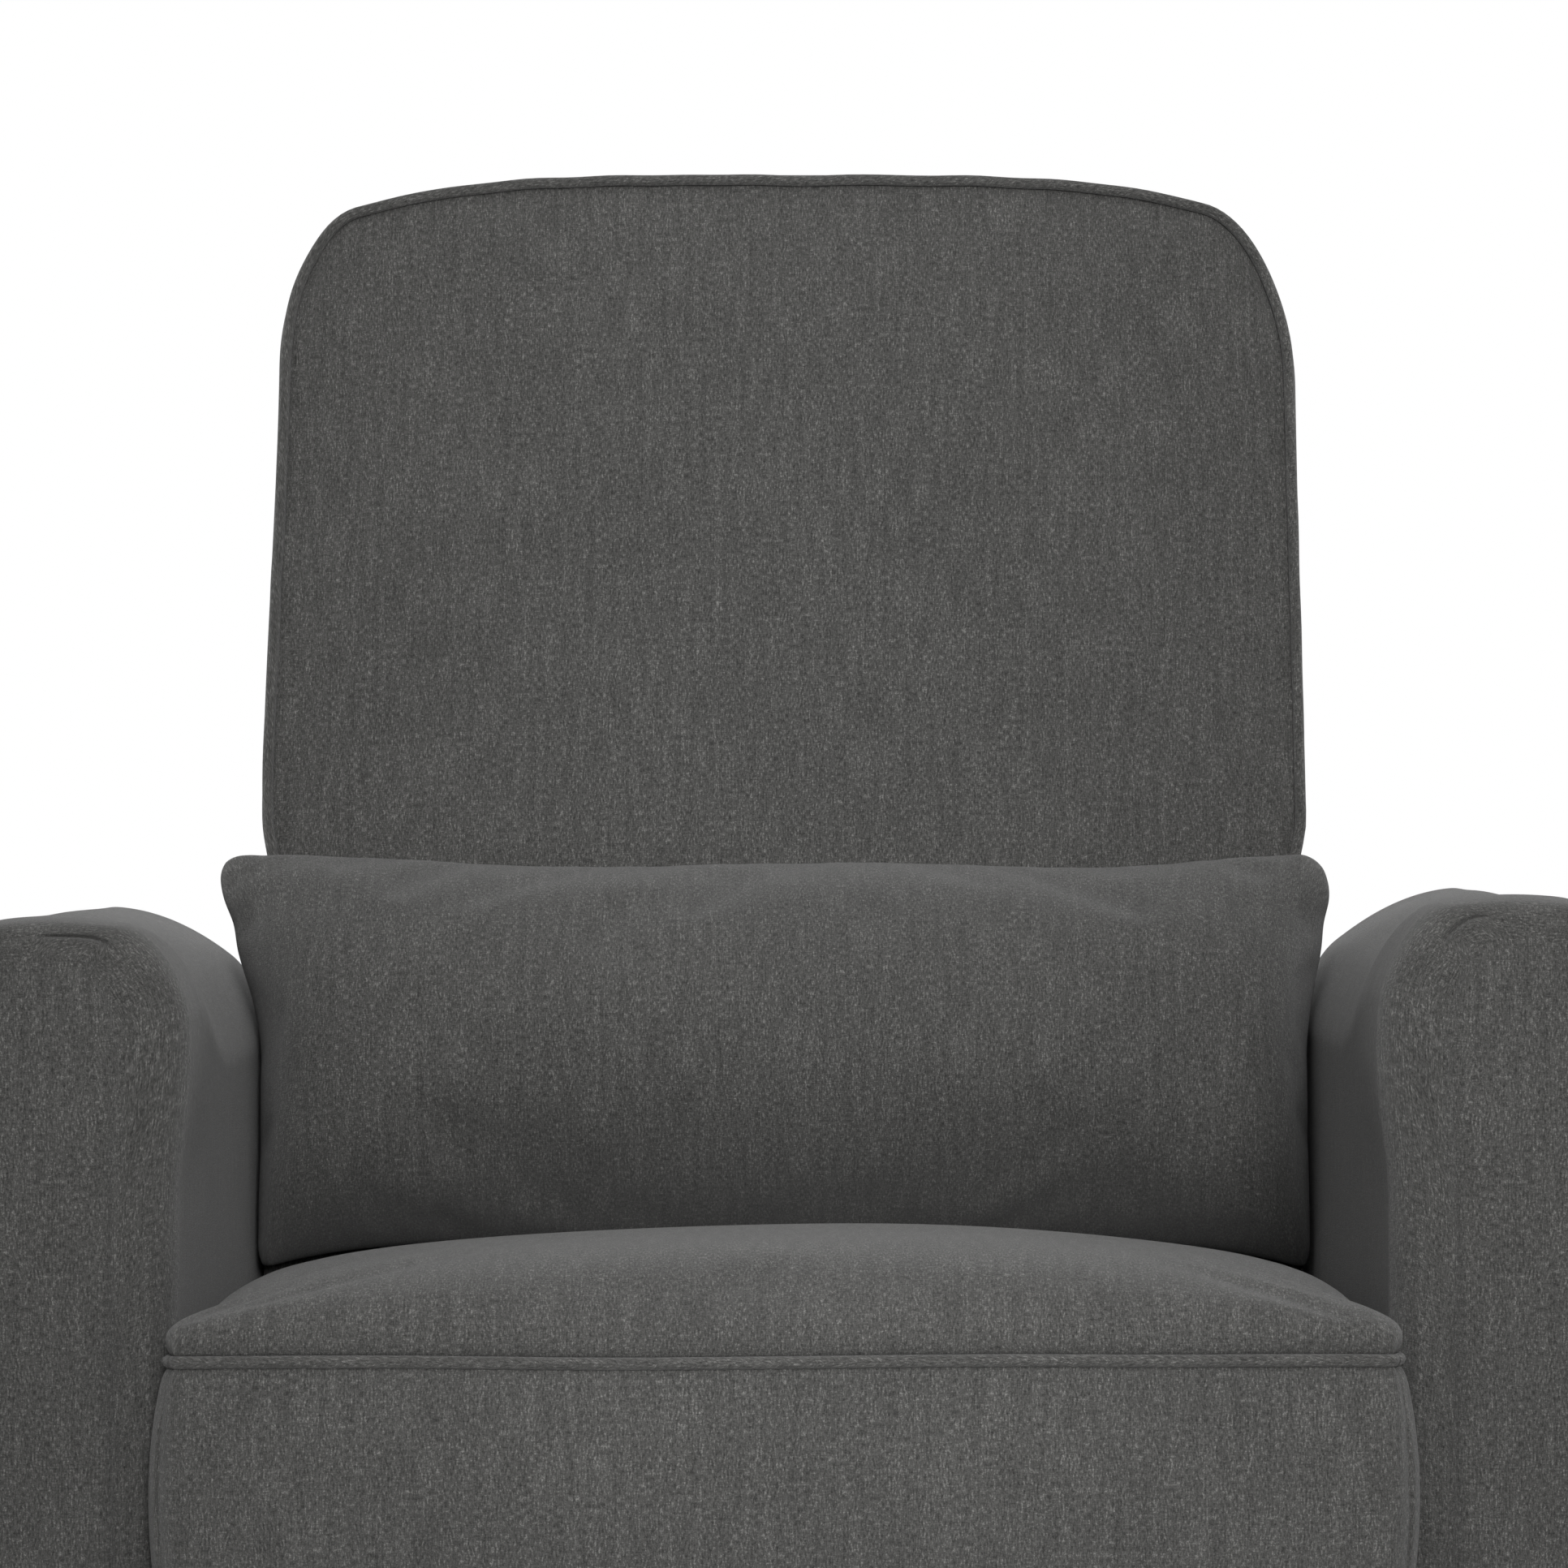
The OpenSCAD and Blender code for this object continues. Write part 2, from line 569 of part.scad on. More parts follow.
module arm() color(charcoal) difference() {
    along_y(arm_front_y, arm_rear_y) arm_section();
    block([seat_x + arm_padding, arm_front_y + arm_padding, skirt_z - 1],
          [arm_x - arm_padding, arm_rear_y - arm_padding, arm_cavity_top]);
    for (y = arm_bolt_ys) bar_x(seat_x - 1, seat_x + arm_padding + 1, y, arm_bolt_z, m8 + 2*bolt_play);
}
module arm_left() mirror([1, 0, 0]) arm();
module arm_right() arm();

// Boards of the arm's frame: two posts, and rails at the foot, the seat and the top
arm_rail_x0 = seat_x + arm_padding + gap;
arm_rail_x1 = arm_x - arm_padding - gap;
arm_post_y0 = arm_front_y + arm_padding + gap;
arm_post_y1 = arm_rear_y - arm_padding - gap;
glue = 0.1;

module arm_board(z0, z1) block([arm_rail_x0, arm_post_y0 + board_t + glue, z0], [arm_rail_x1, arm_post_y1 - board_t - glue, z1]);

module arm_frame() color(pine) {
    top = arm_cavity_top - gap;
    for (y = [arm_post_y0, arm_post_y1 - board_t])
        block([arm_rail_x0, y, skirt_z + 1], [arm_rail_x1, y + board_t, top]);
    arm_board(skirt_z + 1, skirt_z + 1 + board_t);
    arm_board(top - board_t, top);
    difference() {
        arm_board(rail_z, rail_top);
        for (y = arm_bolt_ys) bar_x(seat_x, seat_x + 60, y, arm_bolt_z, m8 + 2*bolt_play);
    }
}
module arm_frame_left() mirror([1, 0, 0]) arm_frame();
module arm_frame_right() arm_frame();

module arm_bolts() color(bright_steel) both_sides() for (y = arm_bolt_ys) {
    hex_x(side_rail_x - m8_head_h, y, arm_bolt_z, m8_head_r, m8_head_h);
    bar_x(side_rail_x - 1, seat_x + 59, y, arm_bolt_z, m8);
}

// ---------- back ----------

corner_power_x = 7;
corner_power_z = 3;

// Outline of the back in (x, z): straight sides under a flat-topped round
module back_outline(inset, bottom) {
    half = seat_x - inset;
    rise = back_corner_h - inset;
    centre = back_h - back_corner_h;
    step = 5;
    polygon(concat(
        [[half, bottom]],
        [for (a = [0:step:180])
            [sign(cos(a))*half*pow(abs(cos(a)), 2/corner_power_x), centre + rise*pow(abs(sin(a)), 2/corner_power_z)]],
        [[-half, bottom]]));
}

// A slab that follows the back's rear face, from one depth under it to another
module rear_slab(x0, x1, z0, z1, depth0, depth1) along_x(x0, x1) polygon([
    [back_rear_y(z0) - depth1, z0], [back_rear_y(z0) - depth0, z0],
    [back_rear_y(z1) - depth0, z1], [back_rear_y(z1) - depth1, z1]]);

back_bottom = deck_z + gap;
frame_depth = back_panel_t + gap;
webbing_t = 2;
pocket_depth = frame_depth + board_t + webbing_t + 2*gap;

module back_cushion() color(charcoal) difference() {
    intersection() {
        along_y(nose_y, overall_depth) back_outline(gap, back_bottom);
        along_x(-seat_x, seat_x) polygon([
            [back_front_y(back_bottom), back_bottom], [back_rear_y(back_bottom) - back_panel_t - gap/2, back_bottom],
            [back_rear_y(back_h) - back_panel_t - gap/2, back_h], [back_front_y(back_h), back_h]]);
    }
    intersection() {
        along_y(nose_y, overall_depth) back_outline(back_padding, back_bottom - 1);
        rear_slab(-seat_x, seat_x, back_bottom - 1, back_h, 0, pocket_depth);
    }
}

module back_outer_panel() color(charcoal) intersection() {
    along_y(nose_y, overall_depth) back_outline(gap, back_bottom);
    rear_slab(-seat_x, seat_x, back_bottom, back_h, 0, back_panel_t);
}

post_top = back_h - back_corner_h + 30;

// Each post stands flush against the rear rail, then leans with the back
module back_post() color(pine) difference() {
    along_x(post_x, post_x1) polygon([
        [post_front_y, rail_z], [frame_rear_y(rail_z), rail_z], [frame_rear_y(post_top), post_top],
        [frame_rear_y(post_top) - board_t, post_top], [frame_rear_y(deck_z) - board_t, deck_z],
        [post_front_y, deck_z - 2]]);
    for (z = [-1, 1])
        bar_y(post_front_y - 1, post_front_y + board_t*2, back_bolt_x, arm_bolt_z + z*rail_h/4, m8 + 2*bolt_play);
}
module back_post_left() mirror([1, 0, 0]) back_post();
module back_post_right() back_post();

module back_top_rail() color(pine) intersection() {
    along_y(nose_y, overall_depth) back_outline(back_padding + gap, back_bottom);
    rear_slab(-seat_x, seat_x, post_top + glue, back_h, frame_depth, frame_depth + board_t);
}

module back_lower_rail() color(pine)
    rear_slab(-post_x + glue, post_x - glue, deck_z + 12, deck_z + 12 + 70, frame_depth, frame_depth + board_t);

band_w = 60;
band_count = 4;
module back_webbing() color(black_plastic) for (i = [0:band_count - 1]) {
    z = deck_z + 150 + i*(post_top - deck_z - 220)/(band_count - 1);
    rear_slab(-seat_x + back_padding + 3*gap, seat_x - back_padding - 3*gap, z, z + band_w,
              frame_depth + board_t + glue, frame_depth + board_t + glue + webbing_t);
}

module back_bolts() color(bright_steel) both_sides() for (z = [-1, 1]) {
    bz = arm_bolt_z + z*rail_h/4;
    translate([back_bolt_x, rear_rail_y, bz]) rotate([90, 0, 0]) cylinder(r = m8_head_r, h = m8_head_h, $fn = 6);
    bar_y(rear_rail_y - 1, frame_rear_y(rail_z) - gap, back_bolt_x, bz, m8);
}

// ---------- pillow ----------

// It leans on the back and its lower edge lies on the falling rear of the seat cushion
pillow_z = seat_h + 11;
pillow_steps = 24;
pillow_power = 2.6;
ear_rise = 30;
pillow_taper = arm_h - arm_shoulder + 14;

module lumbar_pillow() color(charcoal) intersection() {
    up = [sin(back_lean), cos(back_lean)];
    out = [-cos(back_lean), sin(back_lean)];
    foot = [back_front_y(pillow_z), pillow_z] + 2*gap*out;
    top = pillow_z + pillow_h*1.1;
    along_x(-arm_x, arm_x) polygon([for (i = [0:pillow_steps]) let (u = i/pillow_steps)
        foot + u*pillow_h*up + pillow_t*pow(max(0, 1 - pow(abs(2*u - 1), pillow_power)), 0.5)*out]);
    along_y(nose_y, overall_depth/2) polygon([
        [-seat_x + 2*gap, pillow_z - 20], [seat_x - 2*gap, pillow_z - 20], [seat_x - 2*gap, pillow_taper],
        [seat_x + pillow_ear, pillow_taper + ear_rise], [seat_x + pillow_ear, top], [-seat_x - pillow_ear, top],
        [-seat_x - pillow_ear, pillow_taper + ear_rise], [-seat_x + 2*gap, pillow_taper]]);
}

// ---------- nodes ----------

base_ring();
base_crossbars();
floor_glides();
bearing_lower_race();
bearing_balls();
ball_cage();
base_bolts();
swivel_bolt();
swivel_nut();
bearing_upper_race();
cross_channel_front();
cross_channel_rear();
turntable_bolts();
glide_plate_left();
glide_plate_right();
upper_pivot_bolts();
glide_bumpers();
front_link_left();
front_link_right();
front_link_bearings();
rear_link_left();
rear_link_right();
rear_link_bearings();
carriage_rail_left();
carriage_rail_right();
lower_pivot_bolts();
carriage_bolts();
seat_front_rail();
seat_rear_rail();
seat_side_rail_left();
seat_side_rail_right();
corner_blocks();
seat_springs();
spring_clips();
seat_deck_pad();
dust_cover();
front_panel();
rear_panel();
arm_frame_left();
arm_frame_right();
arm_left();
arm_right();
arm_bolts();
back_post_left();
back_post_right();
back_top_rail();
back_lower_rail();
back_webbing();
back_bolts();
back_cushion();
back_outer_panel();
seat_cushion();
lumbar_pillow();
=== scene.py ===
"""An upholstered swivel glider chair, dressed over its CAD frame.

Lengths are in metres: x towards the right-hand arm as seen from the front, y to the rear, z up. A soft piece
is two panels with a band sewn between them, or two panels sewn edge to edge, worked out on grids. The seat
cushion, the back and the pillow are then blown up against their seams by a short cloth run. Piping is a tube
along a seam.
"""

import json

import bmesh
import bpy
import numpy as np
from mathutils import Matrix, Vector


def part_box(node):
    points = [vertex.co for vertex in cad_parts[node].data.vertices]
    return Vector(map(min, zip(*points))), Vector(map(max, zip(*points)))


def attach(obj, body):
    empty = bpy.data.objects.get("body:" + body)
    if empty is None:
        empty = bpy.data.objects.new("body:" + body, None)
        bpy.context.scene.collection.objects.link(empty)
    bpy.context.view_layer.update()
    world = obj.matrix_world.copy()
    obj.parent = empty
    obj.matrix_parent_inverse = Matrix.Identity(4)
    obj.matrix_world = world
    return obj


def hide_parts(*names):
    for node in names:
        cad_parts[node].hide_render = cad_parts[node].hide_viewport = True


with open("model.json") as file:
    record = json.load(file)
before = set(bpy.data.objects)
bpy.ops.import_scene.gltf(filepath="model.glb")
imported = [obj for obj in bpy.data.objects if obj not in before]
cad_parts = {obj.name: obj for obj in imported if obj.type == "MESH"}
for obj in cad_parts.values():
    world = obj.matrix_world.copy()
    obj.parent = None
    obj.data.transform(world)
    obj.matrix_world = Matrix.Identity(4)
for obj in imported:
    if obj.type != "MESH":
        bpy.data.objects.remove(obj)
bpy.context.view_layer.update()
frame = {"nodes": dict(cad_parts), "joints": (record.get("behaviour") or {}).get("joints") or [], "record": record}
scene = bpy.context.scene
UP = np.array([0.0, 0.0, 1.0])

# ---------- sizes taken from the frame ----------


def low_high(node):
    """The lowest and highest corners of a node's box."""
    return [np.array(p, float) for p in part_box(node)]


cushion_lo, cushion_hi = low_high("seat_cushion")
arm_lo, arm_hi = low_high("arm_right")
back_lo, back_hi = low_high("back_cushion")
panel_lo, panel_hi = low_high("back_outer_panel")
pillow_lo, pillow_hi = low_high("lumbar_pillow")

INNER = arm_lo[0]  # half the clear width between the arms
ARM_FRONT = arm_lo[1]
ARM_TOP = arm_hi[2]
NOSE_Y = cushion_lo[1]  # the seat cushion's front
DECK = cushion_lo[2]  # where the seat cushion rests
SEAM_UP = 0.125  # the seat cushion's upper seam above the deck
CROWN = 0.0395  # its crown above that seam
APEX = 0.085  # the crown's highest place, behind the front seam
PIPE = 0.0027  # the piping's radius
SOFT_IN = 0.024  # radius of the arms' soft front edge, on the seat's side
PANEL_T = 0.008  # thickness of the outside back
lean = next(j for j in frame["joints"] if j["name"] == "pillow_lift")["axis"]
BACK_UP = np.array(lean) / np.linalg.norm(lean)
BACK_OUT = np.array([0.0, -BACK_UP[2], BACK_UP[1]])


def back_front_y(z):
    """The back's front plane, rising from its lower edge at the lean of the pillow's slide."""
    return back_lo[1] + (z - back_lo[2]) * BACK_UP[1] / BACK_UP[2]


def back_rear_y(z):
    """The back's rear plane, straight between the outside panel's lower and upper edges."""
    foot = panel_lo[1] + PANEL_T
    return foot + (z - panel_lo[2]) * (panel_hi[1] - foot) / (panel_hi[2] - panel_lo[2])


# ---------- grids, panels and bands ----------


def smooth(t):
    """0 below 0, 1 above 1, and 3 t^2 - 2 t^3 between them."""
    t = np.clip(t, 0, 1)
    return t * t * (3 - 2 * t)


def stations(count, crowd=0.35):
    """count + 1 places from -1 to 1, a blend of even steps and a sine, so they crowd near the ends."""
    s = np.linspace(-1, 1, count + 1)
    return (1 - crowd) * s + crowd * np.sin(np.pi / 2 * s)


def round_corners(x, y, half_x, half_y, rx, ry):
    """A rectangle's corners drawn in to quarter ellipses rx by ry. Past the corner's start a square's
    point (a, b) becomes (a sqrt(1 - b^2 / 2), b sqrt(1 - a^2 / 2))."""
    a = np.clip((np.abs(x) - half_x + rx) / rx, 0, 1)
    b = np.clip((np.abs(y) - half_y + ry) / ry, 0, 1)
    far_x = half_x - rx + rx * a * np.sqrt(1 - b * b / 2)
    far_y = half_y - ry + ry * b * np.sqrt(1 - a * a / 2)
    return np.where(a > 0, np.sign(x) * far_x, x), np.where(b > 0, np.sign(y) * far_y, y)


def edge_of(grid):
    """The grid's border as one loop: along the first row, up the last column, and back round."""
    return np.concatenate([grid[0, :-1], grid[:-1, -1], grid[-1, :0:-1], grid[:0:-1, 0]])


def rounding(behind, radius):
    """How far a rounded edge is drawn in, behind metres back from its face: radius (1 - sqrt(1 - t^2)),
    where t falls from 1 at the face to 0 at one radius behind it."""
    t = np.clip(1 - behind / radius, 0, 1)
    return radius * (1 - np.sqrt(1 - t * t))


def quads(index):
    """The four-cornered faces between neighbouring rows and columns of a grid of vertex numbers."""
    a, b, c, d = index[:-1, :-1], index[:-1, 1:], index[1:, 1:], index[1:, :-1]
    return np.stack([a, b, c, d], -1).reshape(-1, 4)


def corners(cloth):
    """The cloth map at the four corners of each of quads' faces."""
    return np.stack([quads(cloth[..., 0]), quads(cloth[..., 1])], -1)


def cloth_map(grid, turned=False):
    """Where each grid point lies on its flat piece of cloth: the lengths along its row and its column,
    in metres from the middle. The warp runs with the columns, or with the rows when turned."""
    across, up = (np.linalg.norm(np.diff(grid, axis=a), axis=2).cumsum(a) for a in (1, 0))
    across, up = np.pad(across, ((0, 0), (1, 0))), np.pad(up, ((1, 0), (0, 0)))
    across -= across[:, across.shape[1] // 2, None]
    up -= up[up.shape[0] // 2]
    return np.stack([up, across] if turned else [across, up], -1)


def new_piece(name, points, faces, cloth=None):
    """An object from arrays of points, faces and, for cloth, its map. Its faces are turned outwards."""
    mesh = bpy.data.meshes.new(name)
    mesh.from_pydata(points.reshape(-1, 3).tolist(), [], faces.tolist())
    if cloth is not None:
        mesh.uv_layers.new(name="cloth").uv.foreach_set("vector", cloth.astype(np.float32).ravel())
    bm = bmesh.new()
    bm.from_mesh(mesh)
    bmesh.ops.recalc_face_normals(bm, faces=bm.faces)
    bm.to_mesh(mesh)
    bm.free()
    mesh.polygons.foreach_set("use_smooth", np.ones(len(mesh.polygons), bool))
    piece = bpy.data.objects.new(name, mesh)
    scene.collection.objects.link(piece)
    return piece


def ways_out(loop, axis):
    """Unit arrows at each point of a loop, square to the loop and to axis, pointing away from its middle."""
    along = np.roll(loop, -1, 0) - np.roll(loop, 1, 0)
    out = np.cross(along, axis)
    out /= np.linalg.norm(out, axis=1, keepdims=True) + 1e-12
    middle = loop.mean(0)
    return out * np.sign(np.sum(out * (loop - middle)))


def band_rows(first, last, along, out):
    """The rows of a band between two borders: row k lies along[k] of the way from the first to the last,
    moved out[k] metres away from the middle."""
    loop_a, loop_b = edge_of(first), edge_of(last)
    axis = (loop_b - loop_a).mean(0)
    away = ways_out(loop_a, axis / np.linalg.norm(axis))
    return loop_a + (loop_b - loop_a) * along[:, None, None] + away * out[:, None, None]


def sewn(name, first, last, band, turned=False):
    """Two panels and the band's rows between their borders, as one closed mesh. Returns it and the vertex
    numbers of its first seam. turned lays the band's warp along it instead of across."""
    rows, cols = first.shape[:2]
    ring = len(edge_of(first))
    size = rows * cols
    index = np.arange(size).reshape(rows, cols)
    far = size + band.shape[0] * ring + index
    middle = size + np.arange(band.shape[0] * ring).reshape(-1, ring)
    seam_a, seam_b = edge_of(index[..., None])[:, 0], edge_of(far[..., None])[:, 0]
    rings = np.vstack([seam_a, middle, seam_b])
    rings = np.hstack([rings, rings[:, :1]])
    points = np.concatenate([first.reshape(-1, 3), band.reshape(-1, 3), last.reshape(-1, 3)])
    faces = np.concatenate([quads(index), quads(far)[:, ::-1], quads(rings)[:, ::-1]])
    # the band's middle row gives every row its lengths round the piece, so that the weave stays square
    strip = cloth_map(points[rings], turned)
    lengthwise = 1 if turned else 0
    strip[..., lengthwise] = strip[len(strip) // 2, :, lengthwise]
    cloth = [corners(cloth_map(first)), corners(cloth_map(last))[:, ::-1], corners(strip)[:, ::-1]]
    return new_piece(name, points, faces, np.concatenate(cloth)), seam_a


def swelling(depth, power, tuck_in=0.0, rows=17, fade=0.035):
    """A band's rows between its seams and how far each stands out: depth sin(pi t)^power, less a tuck that
    fades from each seam as exp(-(t / fade)^2), so that piping overhangs the band."""
    t = 0.5 - 0.5 * np.cos(np.pi * np.linspace(0, 1, rows + 2)[1:-1])
    near = np.exp(-((t / fade) ** 2)) + np.exp(-(((1 - t) / fade) ** 2))
    return t, depth * np.sin(np.pi * t) ** power - tuck_in * near


def tube(name, path, radius, sides=10, across=UP):
    """A closed round tube: path + radius (cos a N + sin a B), with N square to the path and to across, and
    B square to both."""
    ahead = np.roll(path, -1, 0) - np.roll(path, 1, 0)
    ahead /= np.linalg.norm(ahead, axis=1, keepdims=True)
    normal = np.cross(ahead, across)
    normal /= np.linalg.norm(normal, axis=1, keepdims=True)
    other = np.cross(ahead, normal)
    a = np.linspace(0, 2 * np.pi, sides, endpoint=False)
    ring = np.cos(a)[:, None] * normal[:, None] + np.sin(a)[:, None] * other[:, None]
    points = path[:, None] + radius * ring
    index = np.arange(len(path) * sides).reshape(-1, sides)
    index = np.vstack([index, index[:1]])
    index = np.hstack([index, index[:, :1]])
    return new_piece(name, points, quads(index), corners(cloth_map(points.reshape(-1, 3)[index])))


def places(piece):
    """Where the piece's vertices are."""
    co = np.empty(len(piece.data.vertices) * 3)
    piece.data.vertices.foreach_get("co", co)
    return co.reshape(-1, 3)


def arrows(piece):
    """Which way the surface faces at each vertex."""
    out = np.empty(len(piece.data.vertices) * 3, np.float32)
    piece.data.vertices.foreach_get("normal", out)
    return out.reshape(-1, 3).astype(float)


def move_to(piece, points):
    """Moves the piece's vertices to these points."""
    piece.data.vertices.foreach_set("co", points.ravel())
    piece.data.update()


def ripple(points, size, seed):
    """Slow hills and hollows from -1 to 1: a sum of seeded sine waves across the points, size metres long."""
    rng = np.random.default_rng(seed)
    way = rng.normal(size=(7, 3))
    way /= np.linalg.norm(way, axis=1, keepdims=True)
    length = size * rng.uniform(0.6, 1.7, 7)
    start = rng.uniform(0, 2 * np.pi, 7)
    return np.sin(points @ way.T * (2 * np.pi / length) + start).sum(-1) / 4


def near_line(points, a, b):
    """How far each point lies from the segment a to b, and how far along the segment it is."""
    a, b = np.asarray(a, float), np.asarray(b, float)
    t = np.clip((points - a) @ (b - a) / ((b - a) @ (b - a)), 0, 1)
    return np.linalg.norm(points - a - t[:, None] * (b - a), axis=1), t


def tuck(piece, lines, depth, width):
    """Presses short folds into a piece: each point sinks depth exp(-(distance / width)^2), fading as a sine
    towards both ends of the fold's line."""
    points, normal = places(piece), arrows(piece)
    sink = np.zeros(len(points))
    for a, b in lines:
        gap, t = near_line(points, a, b)
        sink = np.maximum(sink, depth * np.exp(-((gap / width) ** 2)) * np.sin(np.pi * (0.15 + 0.7 * t)))
    move_to(piece, points - normal * sink[:, None])


FILL_STEPS = 20
CLOTH_STIFFNESS = 18.0


def swell(piece, held, pressure, cap, slack):
    """Fills the cover: cloth under pressure, fixed where held is 1. A move of length d is shortened to
    cap tanh(d / cap), so no point goes further than cap metres."""
    start = places(piece)
    group = piece.vertex_groups.new(name="held")
    group.add(np.nonzero(held)[0].tolist(), 1.0, "REPLACE")
    cloth = piece.modifiers.new("cover", "CLOTH")
    s = cloth.settings
    s.quality = 6
    s.mass = 0.25
    s.tension_stiffness = s.compression_stiffness = CLOTH_STIFFNESS
    s.shear_stiffness = CLOTH_STIFFNESS * 0.6
    s.bending_stiffness = 1.5
    s.tension_damping = s.compression_damping = s.shear_damping = 12
    s.air_damping = 4
    s.use_pressure = True
    s.uniform_pressure_force = pressure
    s.vertex_group_mass = "held"
    s.pin_stiffness = 1
    s.shrink_min = -slack
    s.effector_weights.gravity = 0
    cloth.collision_settings.use_collision = False
    cloth.point_cache.frame_start, cloth.point_cache.frame_end = 1, FILL_STEPS
    for step in range(1, FILL_STEPS + 1):
        scene.frame_set(step)
    shape = piece.evaluated_get(bpy.context.evaluated_depsgraph_get()).to_mesh()
    end = np.empty(len(shape.vertices) * 3)
    shape.vertices.foreach_get("co", end)
    piece.modifiers.remove(cloth)
    scene.frame_set(1)
    way = end.reshape(-1, 3) - start
    length = np.linalg.norm(way, axis=1, keepdims=True)
    way *= cap * np.tanh(length / cap) / np.maximum(length, 1e-9)
    move_to(piece, start + way * (1 - held[:, None]))
    piece.vertex_groups.clear()


def finer(piece):
    """Splits each face in four and rounds the surface between them."""
    sub = piece.modifiers.new("finer", "SUBSURF")
    sub.levels = sub.render_levels = 1
    bpy.context.view_layer.objects.active = piece
    with bpy.context.temp_override(object=piece, active_object=piece, selected_objects=[piece]):
        bpy.ops.object.modifier_apply(modifier=sub.name)


def dress(piece, body, finish, slot, *nodes):
    """Gives a piece its finish, the body it rides on, and the nodes that it stands in for. The slot is not used.
    """
    piece.data.materials.clear()
    piece.data.materials.append(finish)
    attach(piece, body)
    if nodes:
        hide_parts(*nodes)
    return piece


# ---------- finishes ----------


class Nodes:
    """A short way to lay out a material's nodes."""

    def __init__(self, name):
        self.material = bpy.data.materials.new(name)
        self.material.use_nodes = True
        self.tree = self.material.node_tree
        self.shader = self.tree.nodes["Principled BSDF"]

    def add(self, kind, inputs=None, **settings):
        node = self.tree.nodes.new(kind)
        for key, value in settings.items():
            setattr(node, key, value)
        for key, value in (inputs or {}).items():
            if isinstance(value, bpy.types.NodeSocket):
                self.tree.links.new(value, node.inputs[key])
            else:
                node.inputs[key].default_value = value
        return node

    def noise(self, vector, scale, detail=2.0, rough=0.5):
        inputs = {"Vector": vector, "Scale": scale, "Detail": detail, "Roughness": rough}
        return self.add("ShaderNodeTexNoise", inputs).outputs["Fac"]

    def stretched(self, vector, x, y, z=1.0):
        return self.add("ShaderNodeMapping", {"Vector": vector, "Scale": (x, y, z)}).outputs["Vector"]

    def plus(self, a, b):
        return self.add("ShaderNodeMath", {0: a, 1: b}, operation="ADD").outputs[0]

    def times(self, a, b):
        return self.add("ShaderNodeMath", {0: a, 1: b}, operation="MULTIPLY").outputs[0]

    def ramp(self, value, stops):
        """A colour for each value, blended between stops of (value, colour)."""
        node = self.add("ShaderNodeValToRGB", {"Fac": value})
        while len(node.color_ramp.elements) < len(stops):
            node.color_ramp.elements.new(0.5)
        for element, (at, colour) in zip(node.color_ramp.elements, stops):
            element.position, element.color = at, (*colour, 1)
        return node.outputs["Color"]

    def tint(self, a, b, share):
        """Colour a multiplied by colour b, by this share."""
        node = self.add("ShaderNodeMix", data_type="RGBA", blend_type="MULTIPLY")
        for socket, value in zip([node.inputs[0], node.inputs[6], node.inputs[7]], [share, a, b]):
            if isinstance(value, bpy.types.NodeSocket):
                self.tree.links.new(value, socket)
            else:
                socket.default_value = value
        return node.outputs[2]

    def finish(self, colour, bump=None, depth=0.0002, strength=0.5, **sockets):
        """Joins the colour, the bump and the shader's other sockets, and returns the material."""
        if isinstance(colour, bpy.types.NodeSocket):
            self.tree.links.new(colour, self.shader.inputs["Base Color"])
        else:
            self.shader.inputs["Base Color"].default_value = colour
        for key, value in sockets.items():
            socket = self.shader.inputs[key.replace("_", " ")]
            if isinstance(value, bpy.types.NodeSocket):
                self.tree.links.new(value, socket)
            else:
                socket.default_value = value
        if bump is not None:
            node = self.add("ShaderNodeBump", {"Height": bump, "Distance": depth, "Strength": strength})
            self.tree.links.new(node.outputs["Normal"], self.shader.inputs["Normal"])
        return self.material


def melange_cloth(name, shade=1.0):
    """Dark woven upholstery: short upright streaks of pale and dark fibre, fainter ones across, and fine
    grain, all patterned in metres on the cloth map. shade lightens or darkens the whole."""
    n = Nodes(name)
    uv = n.add("ShaderNodeUVMap", uv_map="cloth").outputs["UV"]
    warp = n.noise(n.stretched(uv, 1250, 380), 1.0, 3.0, 0.6)
    weft = n.noise(n.stretched(uv, 420, 1250), 1.0, 2.0, 0.55)
    grain = n.noise(n.stretched(uv, 1700, 1700), 1.0, 2.0, 0.6)
    slubs = n.noise(n.stretched(uv, 260, 36), 1.0, 3.0, 0.6)
    cloudy = n.noise(n.stretched(uv, 14, 9), 1.0, 3.0, 0.55)
    fibre = n.plus(n.plus(n.times(warp, 0.44), n.times(weft, 0.16)),
                   n.plus(n.times(grain, 0.26), n.times(slubs, 0.14)))
    stops = ((0.38, (0.022, 0.0218, 0.0208)), (0.47, (0.056, 0.0554, 0.0530)),
             (0.54, (0.090, 0.0890, 0.0855)), (0.63, (0.225, 0.2225, 0.2140)))
    tone = n.ramp(fibre, [(at, tuple(c * shade for c in colour)) for at, colour in stops])
    patch = n.ramp(cloudy, [(0.3, (0.93, 0.93, 0.93)), (0.7, (1.06, 1.06, 1.06))])
    tone = n.tint(tone, patch, 1.0)
    bump = n.plus(n.plus(warp, weft), grain)
    return n.finish(tone, bump, 0.0006, 0.55, Roughness=0.92, Specular_IOR_Level=0.25,
                    Sheen_Weight=0.18, Sheen_Roughness=0.55)


